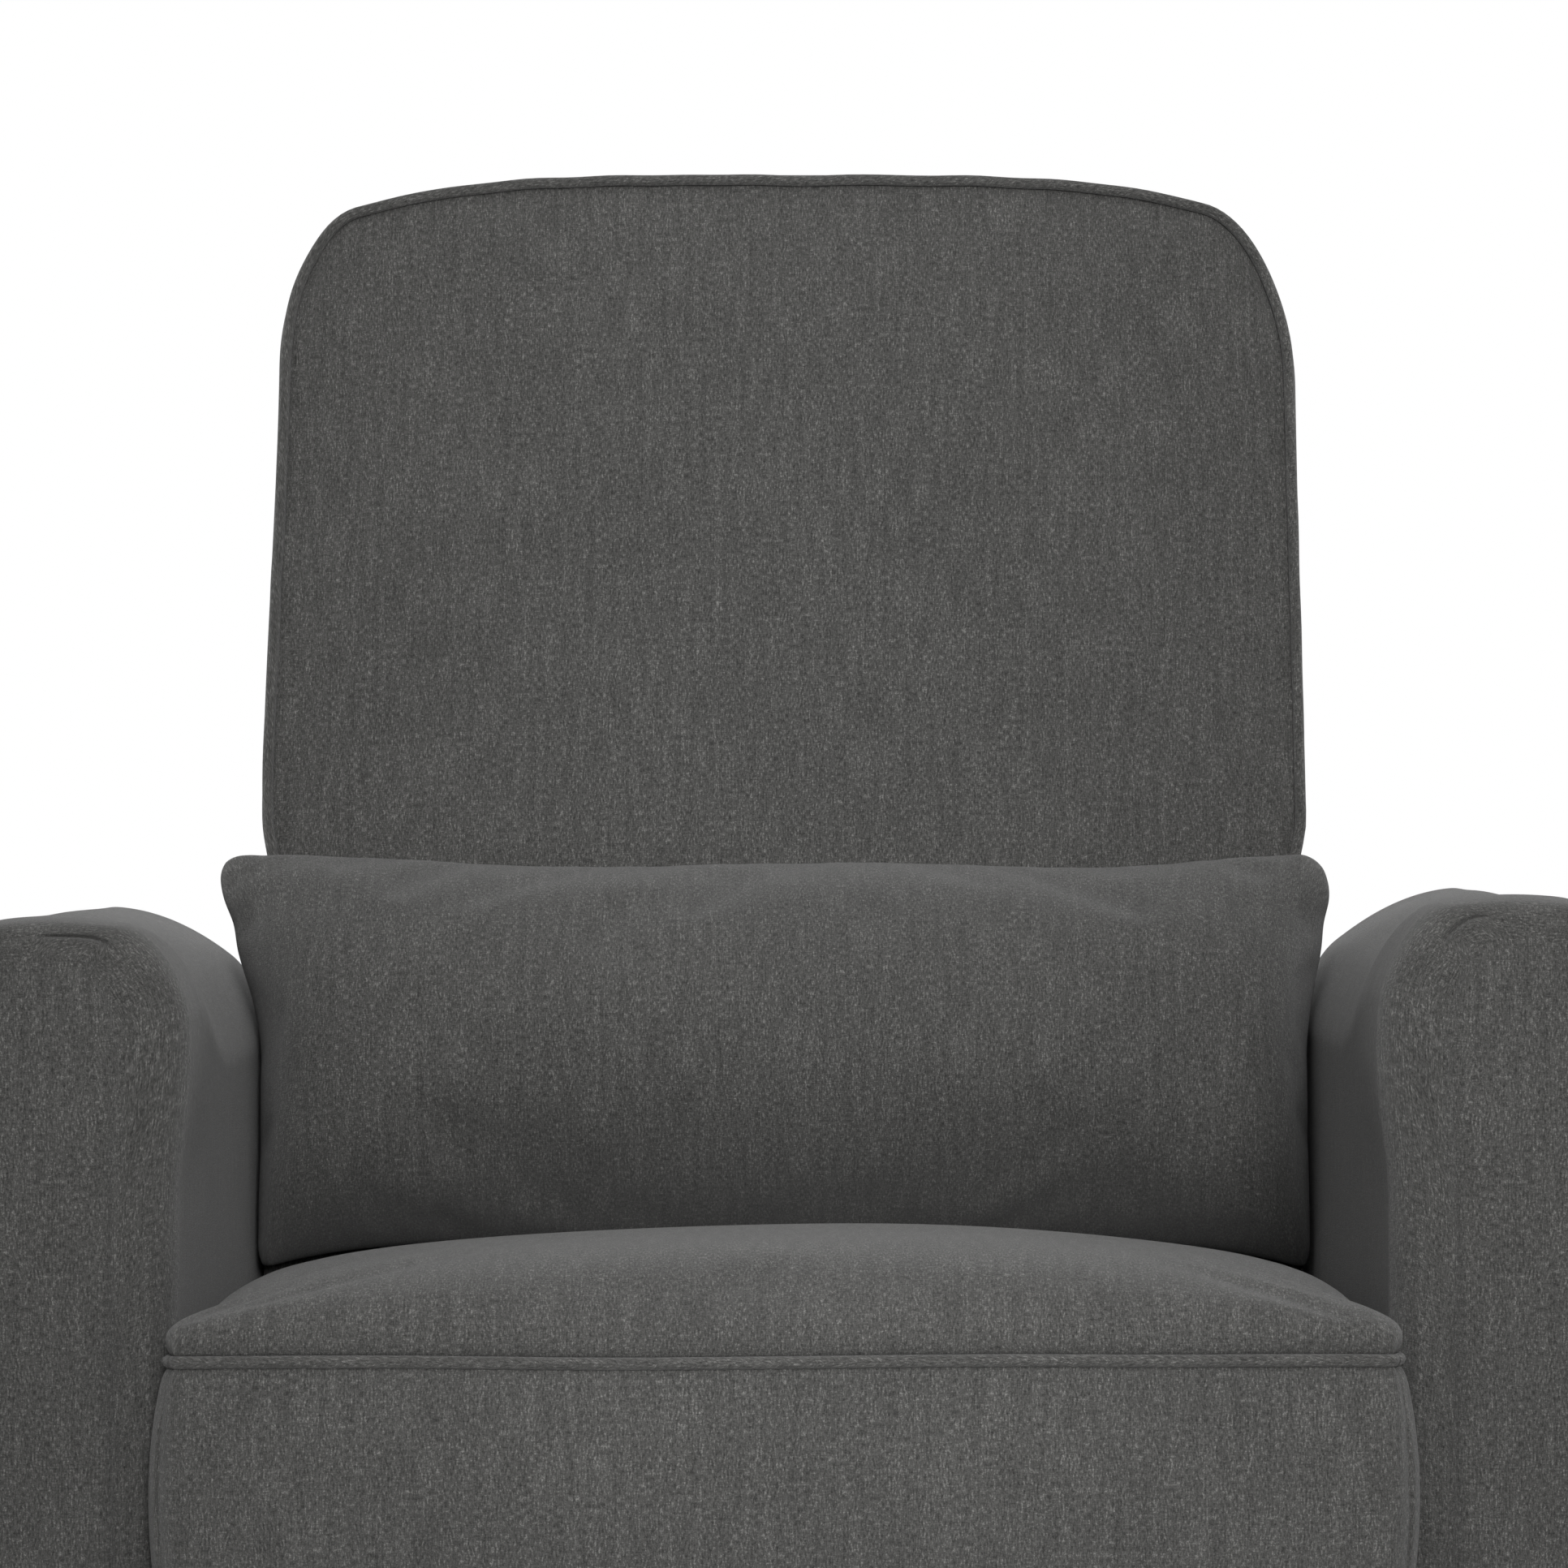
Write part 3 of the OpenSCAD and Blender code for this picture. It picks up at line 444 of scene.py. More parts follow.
def powder_coat(name):
    """Black powder coat: a faint orange-peel skin and a few paler specks."""
    n = Nodes(name)
    at = n.add("ShaderNodeTexCoord").outputs["Object"]
    peel = n.noise(at, 900, 2.0)
    worn = n.noise(at, 60, 4.0, 0.6)
    tone = n.ramp(worn, [(0.35, (0.012, 0.012, 0.013)), (0.7, (0.028, 0.028, 0.029))])
    rough = n.add("ShaderNodeMapRange", {"Value": worn, "To Min": 0.42, "To Max": 0.6}).outputs[0]
    return n.finish(tone, peel, 0.0002, 0.35, Roughness=rough, Specular_IOR_Level=0.5)


def zinc(name):
    """Bright zinc plate: crystalline patches, fine scratches and a brushed grain."""
    n = Nodes(name)
    at = n.add("ShaderNodeTexCoord").outputs["Object"]
    patches = n.noise(at, 240, 3.0, 0.6)
    scratch = n.noise(n.stretched(at, 80, 80, 1600), 1.0, 3.0, 0.6)
    tone = n.ramp(patches, [(0.3, (0.44, 0.44, 0.45)), (0.7, (0.66, 0.66, 0.67))])
    rough = n.add("ShaderNodeMapRange", {"Value": patches, "To Min": 0.25, "To Max": 0.42}).outputs[0]
    return n.finish(tone, scratch, 0.0001, 0.3, Roughness=rough, Metallic=1.0)


def timber(name, pale, deep, ply=False):
    """Softwood: rings stretched along the board, fine pores, and in plywood the edge's layers."""
    n = Nodes(name)
    at = n.add("ShaderNodeTexCoord").outputs["Object"]
    bend = n.noise(n.stretched(at, 9, 9, 3), 1.0, 3.0, 0.5)
    ringed = {"Vector": n.stretched(at, 3, 3, 26), "Scale": 1.6, "Distortion": 7.0, "Detail": 3.0,
              "Detail Scale": 1.4}
    rings = n.add("ShaderNodeTexWave", ringed, bands_direction="Z").outputs["Fac"]
    pores = n.noise(n.stretched(at, 60, 60, 900), 1.0, 2.0, 0.6)
    grain = n.plus(n.times(rings, 0.5), n.plus(n.times(bend, 0.25), n.times(pores, 0.25)))
    halfway = tuple((a + b) / 2 for a, b in zip(pale, deep))
    tone = n.ramp(grain, [(0.25, deep), (0.5, halfway), (0.75, pale)])
    if ply:
        layered = {"Vector": at, "Scale": 55.0, "Distortion": 0.4}
        layers = n.add("ShaderNodeTexWave", layered, bands_direction="Y").outputs["Fac"]
        stripe = n.ramp(layers, [(0.4, (0.62, 0.62, 0.62)), (0.6, (1.0, 1.0, 1.0))])
        tone = n.tint(tone, stripe, 0.5)
    return n.finish(tone, pores, 0.0003, 0.3, Roughness=0.62, Specular_IOR_Level=0.3)


def moulded(name, tone, rough, grain=700):
    """Moulded plastic or rubber: a fine spark-eroded skin, slightly blotched."""
    n = Nodes(name)
    at = n.add("ShaderNodeTexCoord").outputs["Object"]
    skin = n.noise(at, grain, 2.0)
    blotch = n.noise(at, 40, 3.0)
    dark, light = tuple(0.75 * c for c in tone), tuple(1.3 * c for c in tone)
    colour = n.ramp(blotch, [(0.3, dark), (0.7, light)])
    return n.finish(colour, skin, 0.0002, 0.3, Roughness=rough)


def fleece_web(name, tone, lattice=260):
    """Non-woven cloth: matted fibres pressed in small dots, with stray pale fibres."""
    n = Nodes(name)
    at = n.add("ShaderNodeTexCoord").outputs["Object"]
    fibres = n.noise(n.stretched(at, 900, 300, 900), 1.0, 3.0, 0.65)
    dots = n.add("ShaderNodeTexVoronoi", {"Vector": at, "Scale": lattice}).outputs["Distance"]
    dark, light = tuple(0.5 * c for c in tone), tuple(1.9 * c for c in tone)
    colour = n.ramp(fibres, [(0.35, dark), (0.65, light)])
    return n.finish(colour, n.plus(fibres, dots), 0.0003, 0.5, Roughness=0.9, Sheen_Weight=0.2)


charcoal = melange_cloth("charcoal_melange")
# the piping's cloth is the same melange painted 6% lighter: a painted highlight along the piping's rolled edge
piping = melange_cloth("charcoal_piping_painted_highlight", 1.06)
black_steel = powder_coat("black_powder_coat")
zinc_steel = zinc("zinc_plate")
pine = timber("pine_boards", (0.66, 0.48, 0.28), (0.42, 0.27, 0.13))
plywood = timber("birch_plywood", (0.68, 0.52, 0.33), (0.50, 0.35, 0.20), ply=True)
black_plastic = moulded("black_nylon", (0.018, 0.018, 0.019), 0.5)
rubber = moulded("black_rubber", (0.022, 0.022, 0.022), 0.8, 400)
webbing = fleece_web("elastic_webbing", (0.03, 0.03, 0.032), 420)
cover_cloth = fleece_web("dust_cover_fleece", (0.016, 0.016, 0.017))
felt = fleece_web("pressed_felt", (0.11, 0.11, 0.115), 150)

by_slot = {"black_steel": black_steel, "zinc_steel": zinc_steel, "timber": pine, "rubber": rubber,
           "black_plastic": black_plastic, "dust_cover_fabric": webbing, "pad_felt": felt,
           "charcoal_fabric": charcoal}
slot_of = {s["node"]: s["material_slot"] for s in frame["record"]["subparts"]}
for name, node in frame["nodes"].items():
    node.data.materials.clear()
    node.data.materials.append(plywood if name == "seat_front_rail" else by_slot[slot_of[name]])

# ---------- seat cushion ----------


def wander(x, size, seed):
    """A seam's slight unevenness along its length, a ripple about 220 mm long."""
    return size * ripple(np.stack([x, np.zeros_like(x), np.zeros_like(x)], -1), 0.22, seed)


def seat_plan(u, v):
    """The cushion from above: a rounded rectangle, drawn in between the arms and a little wider where its
    nose stands in front of them. Its seam runs a few millimetres inside the cushion's box."""
    inset_x, inset_y, set_back = 0.0062, 0.006, 0.001
    corner, arm_gap = 0.013, 0.0075
    narrowing = 0.030  # length over which it draws in, from just in front of the arms
    half_y = (cushion_hi[1] - NOSE_Y) / 2 - inset_y
    middle_y = (cushion_hi[1] + NOSE_Y) / 2 + set_back
    half_x = cushion_hi[0] - inset_x
    x, y = round_corners(u * half_x, v * half_y, half_x, half_y, corner, corner)
    y = y + middle_y
    between = (INNER - arm_gap) / half_x
    wide = 1 - smooth((y - ARM_FRONT + 0.014) / narrowing)
    return x * (between + (1 - between) * wide), y


def seat_crown(u, behind):
    """The crown's share across, its climb from the front, and its height as a share of the full crown, at u
    and behind metres back from the front seam. Across, a = 0.45 (1 - |u|^2.2) + 0.55 sqrt(1 - |u|^12). The
    climb c rises as a rounded edge to the apex, and behind it the crown falls as (1 - t^2)^0.6. The height
    is their product, times 1 + 2.5 (1 - a)(1 - c), which keeps the front corners full, and times
    1 - 0.85 (1 - a) t, which narrows the crown towards the rear."""
    across = 0.45 * (1 - np.abs(u) ** 2.2) + 0.55 * np.sqrt(1 - np.abs(u) ** 12)
    climb = np.sqrt(1 - np.clip(1 - behind / APEX, 0, 1) ** 2.4)
    t = np.clip((behind - APEX) / (behind.max() - APEX), 0, 1)
    along = climb * (1 - t * t) ** 0.6
    full = (1 + 2.5 * (1 - across) * (1 - climb)) * (1 - 0.85 * (1 - across) * t)
    return across, climb, across * along * full


def between_arms(points, spare):
    """Keeps points clear of the arms: behind their soft front edges nothing is wider than the inner faces,
    less the spare."""
    widest = INNER - spare + 0.8 * rounding(np.clip(points[:, 1] - ARM_FRONT, 0, None), SOFT_IN)
    beside = (points[:, 1] > ARM_FRONT) & (np.abs(points[:, 0]) > widest)
    points[beside, 0] = np.sign(points[beside, 0]) * widest[beside]
    return points


def make_seat():
    """The boxed seat cushion: a crowned top and a flat bottom on seat_plan, with a band that swells between
    its seams. Between the seam and rim, a share of its height, the crown is drawn out over the piping as a
    half sine, by over_side at the sides and as its fourth root by over_front at the front."""
    over_side, over_front, rim = 0.0062, 0.0040, 0.62
    lower_seam = 0.0035  # above the deck
    crown_shift = 0.03  # moves the crown's middle a little to the right
    unevenness = 0.0012
    u, v = np.meshgrid(stations(88, 0.7), stations(84, 0.7))
    x, y = seat_plan(u, v)
    seam_z = DECK + SEAM_UP
    behind = (v + 1) * (cushion_hi[1] - NOSE_Y - 0.010) / 2
    across, climb, crown = seat_crown(u - crown_shift * (1 - u * u), behind)
    lean_out = over_side * np.sin(np.pi * np.clip(across / rim, 0, 1)) * np.sign(u)
    lean_out = lean_out * (1 - 0.6 * (1 - smooth((y - NOSE_Y) / 0.04)))
    roll = over_front * np.sin(np.pi * np.clip(climb / rim, 0, 1)) ** 0.25 * (across > 0)
    top_z = seam_z + wander(x, unevenness, 5) + CROWN * crown
    top = np.stack([x + lean_out, y - roll * smooth(across * 4), top_z], -1)
    bottom = np.stack([x, y, np.full_like(x, DECK + lower_seam)], -1)
    band = band_rows(top, bottom, *swelling(depth=0.0072, power=0.75, tuck_in=0.0046, rows=21))
    cover, top_seam = sewn("seat_cushion_cover", top, bottom, band)
    points = places(cover)
    # fixed: the upper seam, the underside with the foot of the band, and the band's upper 8 mm
    held = np.zeros(len(points))
    held[top_seam] = 1
    held[points[:, 2] < DECK + 0.006] = 1
    below_top = np.arange(len(points)) >= u.size
    held[(points[:, 2] > seam_z - 0.008) & below_top] = 1
    swell(cover, held, pressure=2.0, cap=0.004, slack=0.004)
    points = between_arms(places(cover), 0.0004)
    move_to(cover, np.clip(points, (-np.inf, NOSE_Y - 0.004, DECK + 0.0006), None))
    # a short fold above the seam at each front corner
    nose = NOSE_Y + 0.006
    folds = [((side * 0.250, nose + 0.003, seam_z + 0.006), (side * 0.226, nose + 0.004, seam_z + 0.009))
             for side in (-1, 1)]
    tuck(cover, folds, 0.0024, 0.0030)
    finer(cover)
    dress(cover, "seat", charcoal, "charcoal_fabric", "seat_cushion")
    for label, grid, lift in (("top", top, -0.0024), ("bottom", bottom, 0.0008)):
        loop = edge_of(grid)
        path = loop - ways_out(loop, UP) * PIPE * 0.15 + UP * lift
        path = path + UP * (0.0003 * ripple(path, 0.05, 9))[:, None]
        path = between_arms(path, PIPE + 0.0006)
        pipe = tube(f"seat_piping_{label}", path, PIPE)
        dress(pipe, "seat", piping, "charcoal_fabric")


# ---------- back ----------

BACK_HALF = back_hi[0]
BACK_TOP = back_hi[2]
BACK_LOW = back_lo[2]


def back_plan(u, v, inset):
    """The back's upright shape: sides that step out above the arms and draw in a little as they rise,
    elliptical upper corners, and a top edge that falls as the fourth power of the distance from the
    middle. inset draws the whole in from the back's box."""
    top_fall = 0.029  # from the middle of the top edge to its corners
    step_out = 0.018  # of the half width, just above the arms
    sideways = 0.0016  # the upper part stands a little to the right
    half = BACK_HALF + 0.0004 - inset
    height = BACK_TOP + 0.0004 - inset - BACK_LOW
    rx = np.where(v > 0, np.where(u < 0, 0.034, 0.040), 0.006)
    ry = np.where(v > 0, np.where(u < 0, 0.062, 0.074), 0.006)
    x, z = round_corners(u * half, v * height / 2, half, height / 2, rx, ry)
    z = z + height / 2
    z = z - top_fall * (x / half) ** 4 * smooth(z / height * 1.5 - 0.5) + BACK_LOW
    wide = step_out * (1 - smooth((z - 0.66) / 0.24)) * smooth((z - ARM_TOP - 0.002) / 0.03)
    return x * (1 + wide) + sideways * smooth((z - 0.70) / 0.2), z


def make_back():
    """The padded back: a front panel that swells from its edge as sqrt((1 - |u|^3)(1 - |v|^6)), a flat rear
    panel and the band between them, gathered along its upper seam, with piping round the front."""
    seam_back, padding = 0.007, 0.0095  # the front seam behind the back's plane, and the face before the seam
    panel_gap = 0.0006
    u, v = np.meshgrid(stations(84, 0.5), stations(100, 0.5))
    x, z = back_plan(u, v, 0.0064)
    full = np.sqrt(np.clip((1 - np.abs(u) ** 3) * (1 - np.abs(v) ** 6), 0, 1))
    front = np.stack([x, back_front_y(z) + seam_back - padding * full, z], -1)
    xr, zr = back_plan(u, v, 0.0045)
    rear = np.stack([xr, back_rear_y(zr) - PANEL_T - panel_gap, zr], -1)
    band = band_rows(front, rear, *swelling(depth=0.0060, power=0.6, tuck_in=0.0008, rows=13))
    cover, front_seam = sewn("back_cover", front, rear, band)
    # only the front panel fills out
    held = np.full(len(places(cover)), 1.0)
    held[: u.size] = 0
    held[front_seam] = 1
    swell(cover, held, pressure=1.6, cap=0.005, slack=0.002)
    points = places(cover)
    points[:, 2] = np.clip(points[:, 2], BACK_LOW + 0.0005, None)
    move_to(cover, points)
    # short gathers below the seam, at three in ten of its points along the upper 160 mm
    loop = edge_of(front)
    away = ways_out(loop, np.array([0.0, 1.0, 0.0]))
    rng = np.random.default_rng(21)
    gathers = []
    gathered = (loop[:, 2] > BACK_TOP - 0.16) & (rng.random(len(loop)) < 0.30)
    for k in np.nonzero(gathered)[0]:
        inward = -away[k] * rng.uniform(0.006, 0.016) + np.array([rng.uniform(-0.004, 0.004), 0, 0])
        gathers.append((loop[k] - away[k] * 0.001, loop[k] + inward))
    finer(cover)
    tuck(cover, gathers, 0.0012, 0.0026)
    dress(cover, "seat", charcoal, "charcoal_fabric", "back_cushion")
    path = loop + away * PIPE * 0.35 + BACK_OUT * PIPE * 0.75
    path = path + away * (0.0004 * ripple(path, 0.035, 3))[:, None]
    pipe = tube("back_piping", path, PIPE, across=BACK_OUT)
    dress(pipe, "seat", piping, "charcoal_fabric")


def make_outside_back():
    """The outside back: a flat pulled panel with a rounded edge, pinned over the frame."""
    u, v = np.meshgrid(stations(60), stations(76))
    shapes = []
    for inset, depth in ((0.0048, PANEL_T - 0.0004), (0.0066, 0.0)):
        x, z = back_plan(u, v, inset)
        full = (1 - np.abs(u) ** 4) * (1 - np.abs(v) ** 4)
        shapes.append(np.stack([x, back_rear_y(z) - depth + 0.0012 * full * (depth == 0), z], -1))
    band = band_rows(*shapes, *swelling(depth=0.0022, power=0.6, rows=5))
    cover, _ = sewn("outside_back_cover", *shapes, band)
    finer(cover)
    dress(cover, "seat", charcoal, "charcoal_fabric", "back_outer_panel")


# ---------- arms ----------

ARM_LOW = arm_lo[2]
ARM_W = arm_hi[0] - arm_lo[0]


def arm_top(x, y, drop):
    """Height of the padded top, x metres from the inner face: a shallow arch, falling as the square of the
    distance from its crest. Towards the rear the crest moves outwards and the inner side falls more
    steeply."""
    front_fall, rear_fall = 0.0045, 0.004
    back = smooth((y - ARM_FRONT) / 0.30)
    crest = 0.052 + 0.030 * back
    inner_curve, outer_curve = 2.4 + 4.2 * back, 2.6
    ridge = ARM_TOP - drop - front_fall * np.exp(-(y - ARM_FRONT) / 0.016) - rear_fall * back
    inner = np.clip(crest - x, 0, None)
    outer = np.clip(x - crest, 0, None)
    return ridge - inner_curve * inner ** 2 - outer_curve * outer ** 2


def arm_section(u, v, y, drop, inner, around):
    """The arm's upright section at y, drawn in by inner at its inner side and by around elsewhere: straight
    sides, the two upper corners rounded, and the top following arm_top."""
    half = (ARM_W - inner - around) / 2
    low = around * 0.4
    tall = ARM_TOP - ARM_LOW - around - low
    back = smooth((y - ARM_FRONT) / 0.22)
    rx = np.where(v > 0, np.where(u < 0, 0.024 - 0.004 * back, 0.024), 0.004)
    ry = np.where(v > 0, np.where(u < 0, 0.040 - 0.006 * back, 0.026), 0.004)
    x, z = round_corners(u * half, v * tall / 2, half, tall / 2, rx, ry)
    x = x + inner + half
    z = z + tall / 2
    up = smooth(z / tall * 4 - 3)
    z = z + ARM_LOW + low + up * (arm_top(x, y, drop) - ARM_TOP)
    # the padding swells inwards over the seat, near the front
    share = np.clip(1 - x / 0.05, 0, 1)
    level = np.clip((z - 0.512) / 0.13, 0, 1)
    swell_in = 0.0055 * np.exp(-(((y - ARM_FRONT - 0.04) / 0.12) ** 2)) * np.sin(np.pi * level) ** 2
    return x - share * swell_in, z


def make_arm(side, label, drop, seam_from, seam_to):
    """A padded arm, made as the right-hand one and mirrored for the left: a facing, a flat rear and the band
    along it, a row of arm_section at each depth. drop lowers its top. The facing's seam is a groove 3 mm
    behind the front, open along the top from seam_from to seam_to metres out from the inner face."""
    u, v = np.meshgrid(stations(30, 0.3), stations(92, 0.15))
    depth = arm_hi[1] - ARM_FRONT
    soft, soft_rear = 0.012, 0.006  # radii of the other front edges and of the rear ones
    lip, lip_fade = 0.003, 0.004  # how far the facing's edge is set back, and how soon that fades behind it
    padding = 0.0045  # how far its middle stands forwards

    def row(u, v, behind, lift):
        inner = np.maximum(rounding(behind, SOFT_IN), rounding(depth - behind, soft_rear))
        around = np.maximum(rounding(behind, soft), rounding(depth - behind, soft_rear))
        x, z = arm_section(u, v, ARM_FRONT + behind, drop, inner, around)
        return np.stack([x, ARM_FRONT + behind + lift + 0 * x, z], -1)

    dome = np.sqrt(np.clip((1 - np.abs(u) ** 2.6) * (1 - np.abs(v) ** 10), 0, 1))
    edge = np.exp(-((1 - np.maximum(np.abs(u), np.abs(v) ** 3)) / 0.12) ** 2)
    front = row(u, v, 0.0, lip * edge - padding * dome)
    rear = row(u, v, depth, -0.0015 + 0.001 * dome)
    # rows every 12 degrees round the soft front edge, even ones along the arm, two round the rear edge
    near = SOFT_IN * (1 - np.cos(np.radians(np.arange(12, 85, 12))))
    middle = np.linspace(SOFT_IN, depth - soft_rear, 58)
    far = depth - soft_rear * np.array([0.5, 0.13])
    # the facing's seam: its row is pushed back, deeply where it shows along the top and faintly all round
    seam, seam_half = 0.0030, 0.0006
    ue, ve = edge_of(u[..., None])[:, 0], edge_of(v[..., None])[:, 0]
    across = (ue + 1) / 2 * ARM_W
    deep = smooth((across - seam_from) / 0.006) * smooth((seam_to - across) / 0.012) * (ve > 0.9)
    push = 0.0003 + 0.0042 * deep
    behinds = np.sort(np.concatenate([near, middle, far, [seam - seam_half, seam, seam + seam_half]]))
    lifts = lip * np.exp(-behinds[:, None] / lip_fade) + push * (behinds[:, None] == seam)
    band = np.stack([row(ue, ve, behind, lift) for behind, lift in zip(behinds, lifts)])
    cover, _ = sewn(f"arm_cover_{label}", front, rear, band, turned=True)
    # slow hills and hollows over the upper part, none on the inner face
    points, normal = places(cover), arrows(cover)
    upper = smooth((points[:, 2] - ARM_TOP + 0.30) / 0.2)
    puff = 0.0009 * ripple(points, 0.19, 31 + side) * upper
    puff *= smooth((points[:, 0] - 0.004) / 0.02)
    move_to(cover, points + normal * puff[:, None])
    finer(cover)
    # short gathers in the facing, beneath its top edge
    loop = edge_of(front)
    on_top = loop[(loop[:, 2] > ARM_TOP - drop - 0.024) & (loop[:, 0] > 0.012)]
    on_top = on_top[np.argsort(on_top[:, 0])]
    rng = np.random.default_rng(40 + side)
    gathers = []
    for p in on_top[1:-1:2]:
        foot = p + np.array([rng.uniform(-0.004, 0.004), -0.002, -rng.uniform(0.012, 0.030)])
        gathers.append((p + np.array([0, -0.001, -0.003]), foot))
    tuck(cover, gathers, 0.0016, 0.0040)
    points = places(cover)
    points[:, 0] = side * (points[:, 0] + INNER)
    move_to(cover, points)
    if side < 0:
        cover.data.flip_normals()
    dress(cover, "seat", charcoal, "charcoal_fabric", f"arm_{label}")


# ---------- pillow ----------


def make_pillow():
    """A knife-edged pillow leaning on the back. u runs across and v up. Squeezed between the arms below, it
    spreads over their shoulders above. Both panels swell from the edge seam as a power of
    (1 - |u|^a)(1 - |v|^b), where a falls from 13 to 5 up the pillow."""
    u, v = np.meshgrid(stations(88, 0.5), stations(48, 0.5))
    tall = (pillow_hi[2] - pillow_lo[2]) / BACK_UP[2] * 0.985
    half = pillow_hi[0]
    rx = np.where(v > 0, np.where(u > 0, 0.018, 0.012), 0.010)
    ry = np.where(v > 0, np.where(u > 0, 0.028, 0.014), 0.010)
    x, h = round_corners(u * half, v * tall / 2, half, tall / 2, rx, ry)
    t = h / tall + 0.5
    squeezed = (INNER - 0.0010) / half
    ear_left, ear_right = 0.2700, 0.2625
    ear = np.where(x < 0, ear_left, ear_right) / half
    spread = smooth((t - 0.48) / 0.50) - 0.10 * np.exp(-(((t - 0.82) / 0.05) ** 2))
    x = x * (squeezed + (ear - squeezed) * spread)
    dip = -0.004 * (1 - np.abs(u) ** 2.0) + 0.0012 * np.sin(u * 7.0 + 1.0)
    droop = 0.0145 * np.abs(u) ** 6 * (1 - t) ** 3
    rise = t * (tall - 0.004) + dip * smooth((t - 0.5) * 2) - droop
    sides = 13 - 8 * smooth((t - 0.45) / 0.45)
    ends = 2.4 + 3.0 * np.abs(u) ** 3 * (v < 0)
    swollen = np.clip((1 - np.abs(u) ** sides) * (1 - np.abs(v) ** ends), 0, 1)
    foot = np.array([0.0, back_front_y(pillow_lo[2]), pillow_lo[2]])
    thick, seam = 0.112, 0.030  # seam: how far the edge lies in front of the back
    shapes = []
    for depth in (-(thick - seam) * swollen ** 0.62, (seam - 0.006) * swollen ** 0.35):
        point = foot + rise[..., None] * BACK_UP + (seam - depth)[..., None] * BACK_OUT
        point[..., 0] = x
        shapes.append(point)
    cover = knife_edge("lumbar_pillow_cover", *shapes)
    held = np.zeros(len(places(cover)))
    held[edge_of(np.arange(u.size).reshape(u.shape)[..., None])[:, 0]] = 1
    held[u.size:] = 1
    swell(cover, held, pressure=2.0, cap=0.006, slack=0.008)
    points = places(cover)
    low = points[:, 2] < 0.56
    points[low, 0] = np.clip(points[low, 0], 0.0005 - INNER, INNER - 0.0005)
    points[:, 2] += 0.0012 * ripple(points, 0.16, 77) * smooth((points[:, 2] - 0.56) / 0.08)
    move_to(cover, points)
    # folds that run in from the ears above and from the corners below
    folds = [((-0.246, 0.075, 0.600), (-0.225, 0.055, 0.583)),
             ((-0.235, 0.050, 0.500), (-0.200, 0.045, 0.512)),
             ((0.243, 0.070, 0.575), (0.232, 0.055, 0.540)),
             ((0.236, 0.050, 0.505), (0.205, 0.045, 0.512))]
    tuck(cover, folds, 0.0035, 0.011)
    finer(cover)
    dress(cover, "pillow", charcoal, "charcoal_fabric", "lumbar_pillow")


def knife_edge(name, front, rear):
    """Two panels sewn straight to each other: the rear one shares the front one's border."""
    rows, cols = front.shape[:2]
    index = np.arange(rows * cols).reshape(rows, cols)
    inner = rows * cols + np.arange((rows - 2) * (cols - 2)).reshape(rows - 2, cols - 2)
    far = index.copy()
    far[1:-1, 1:-1] = inner
    points = np.concatenate([front.reshape(-1, 3), rear[1:-1, 1:-1].reshape(-1, 3)])
    cloth = np.concatenate([corners(cloth_map(front)), corners(cloth_map(rear))[:, ::-1]])
    return new_piece(name, points, np.concatenate([quads(index), quads(far)[:, ::-1]]), cloth)


# ---------- panels below the seat ----------


def make_board(name, node, padding):
    """An upholstered board: a face padded as sqrt((1 - |u|^8)(1 - |v|^4)) with softly rounded edges, pulled
    flat behind. Negative padding faces the front, positive the rear."""
    lo, hi = low_high(node)
    u, v = np.meshgrid(stations(60), stations(28))
    soft = 0.005
    half_x, half_z = (hi[0] - lo[0]) / 2 - soft, (hi[2] - lo[2]) / 2 - soft
    x, z = round_corners(u * half_x, v * half_z, half_x, half_z, 0.006, 0.006)
    z = z + (hi[2] + lo[2]) / 2
    full = np.sqrt(np.clip((1 - np.abs(u) ** 8) * (1 - np.abs(v) ** 4), 0, 1))
    ahead, behind = (lo[1], hi[1]) if padding < 0 else (hi[1], lo[1])
    face = np.stack([x, ahead - padding * 0.6 + padding * full, z], -1)
    flat = np.stack([x, np.full_like(x, behind), z], -1)
    t = np.array([0.06, 0.2, 0.4, 0.6, 0.8, 0.94])
    out = soft * np.array([0.55, 0.92, 1.0, 1.0, 0.92, 0.55])
    cover, _ = sewn(name, face, flat, band_rows(face, flat, t, out))
    finer(cover)
    dress(cover, "seat", charcoal, "charcoal_fabric", node)


def make_deck_pad():
    """The felt pad over the springs: a flat slab with rounded corners, its top sunk by a slow ripple."""
    lo, hi = low_high("seat_deck_pad")
    u, v = np.meshgrid(stations(40), stations(40))
    half_x, half_y = (hi[0] - lo[0]) / 2 - 0.002, (hi[1] - lo[1]) / 2 - 0.002
    x, y = round_corners(u * half_x, v * half_y, half_x, half_y, 0.004, 0.004)
    y = y + (hi[1] + lo[1]) / 2
    quilt = 0.0006 * ripple(np.stack([x, y, 0 * x], -1).reshape(-1, 3), 0.06, 4).reshape(x.shape) - 0.0006
    top = np.stack([x, y, hi[2] + np.minimum(quilt, 0)], -1)
    low = np.stack([x, y, np.full_like(x, lo[2])], -1)
    band = band_rows(top, low, np.array([0.25, 0.5, 0.75]), np.array([0.0015, 0.002, 0.0015]))
    pad, _ = sewn("deck_pad_felt", top, low, band)
    dress(pad, "seat", felt, "pad_felt", "seat_deck_pad")


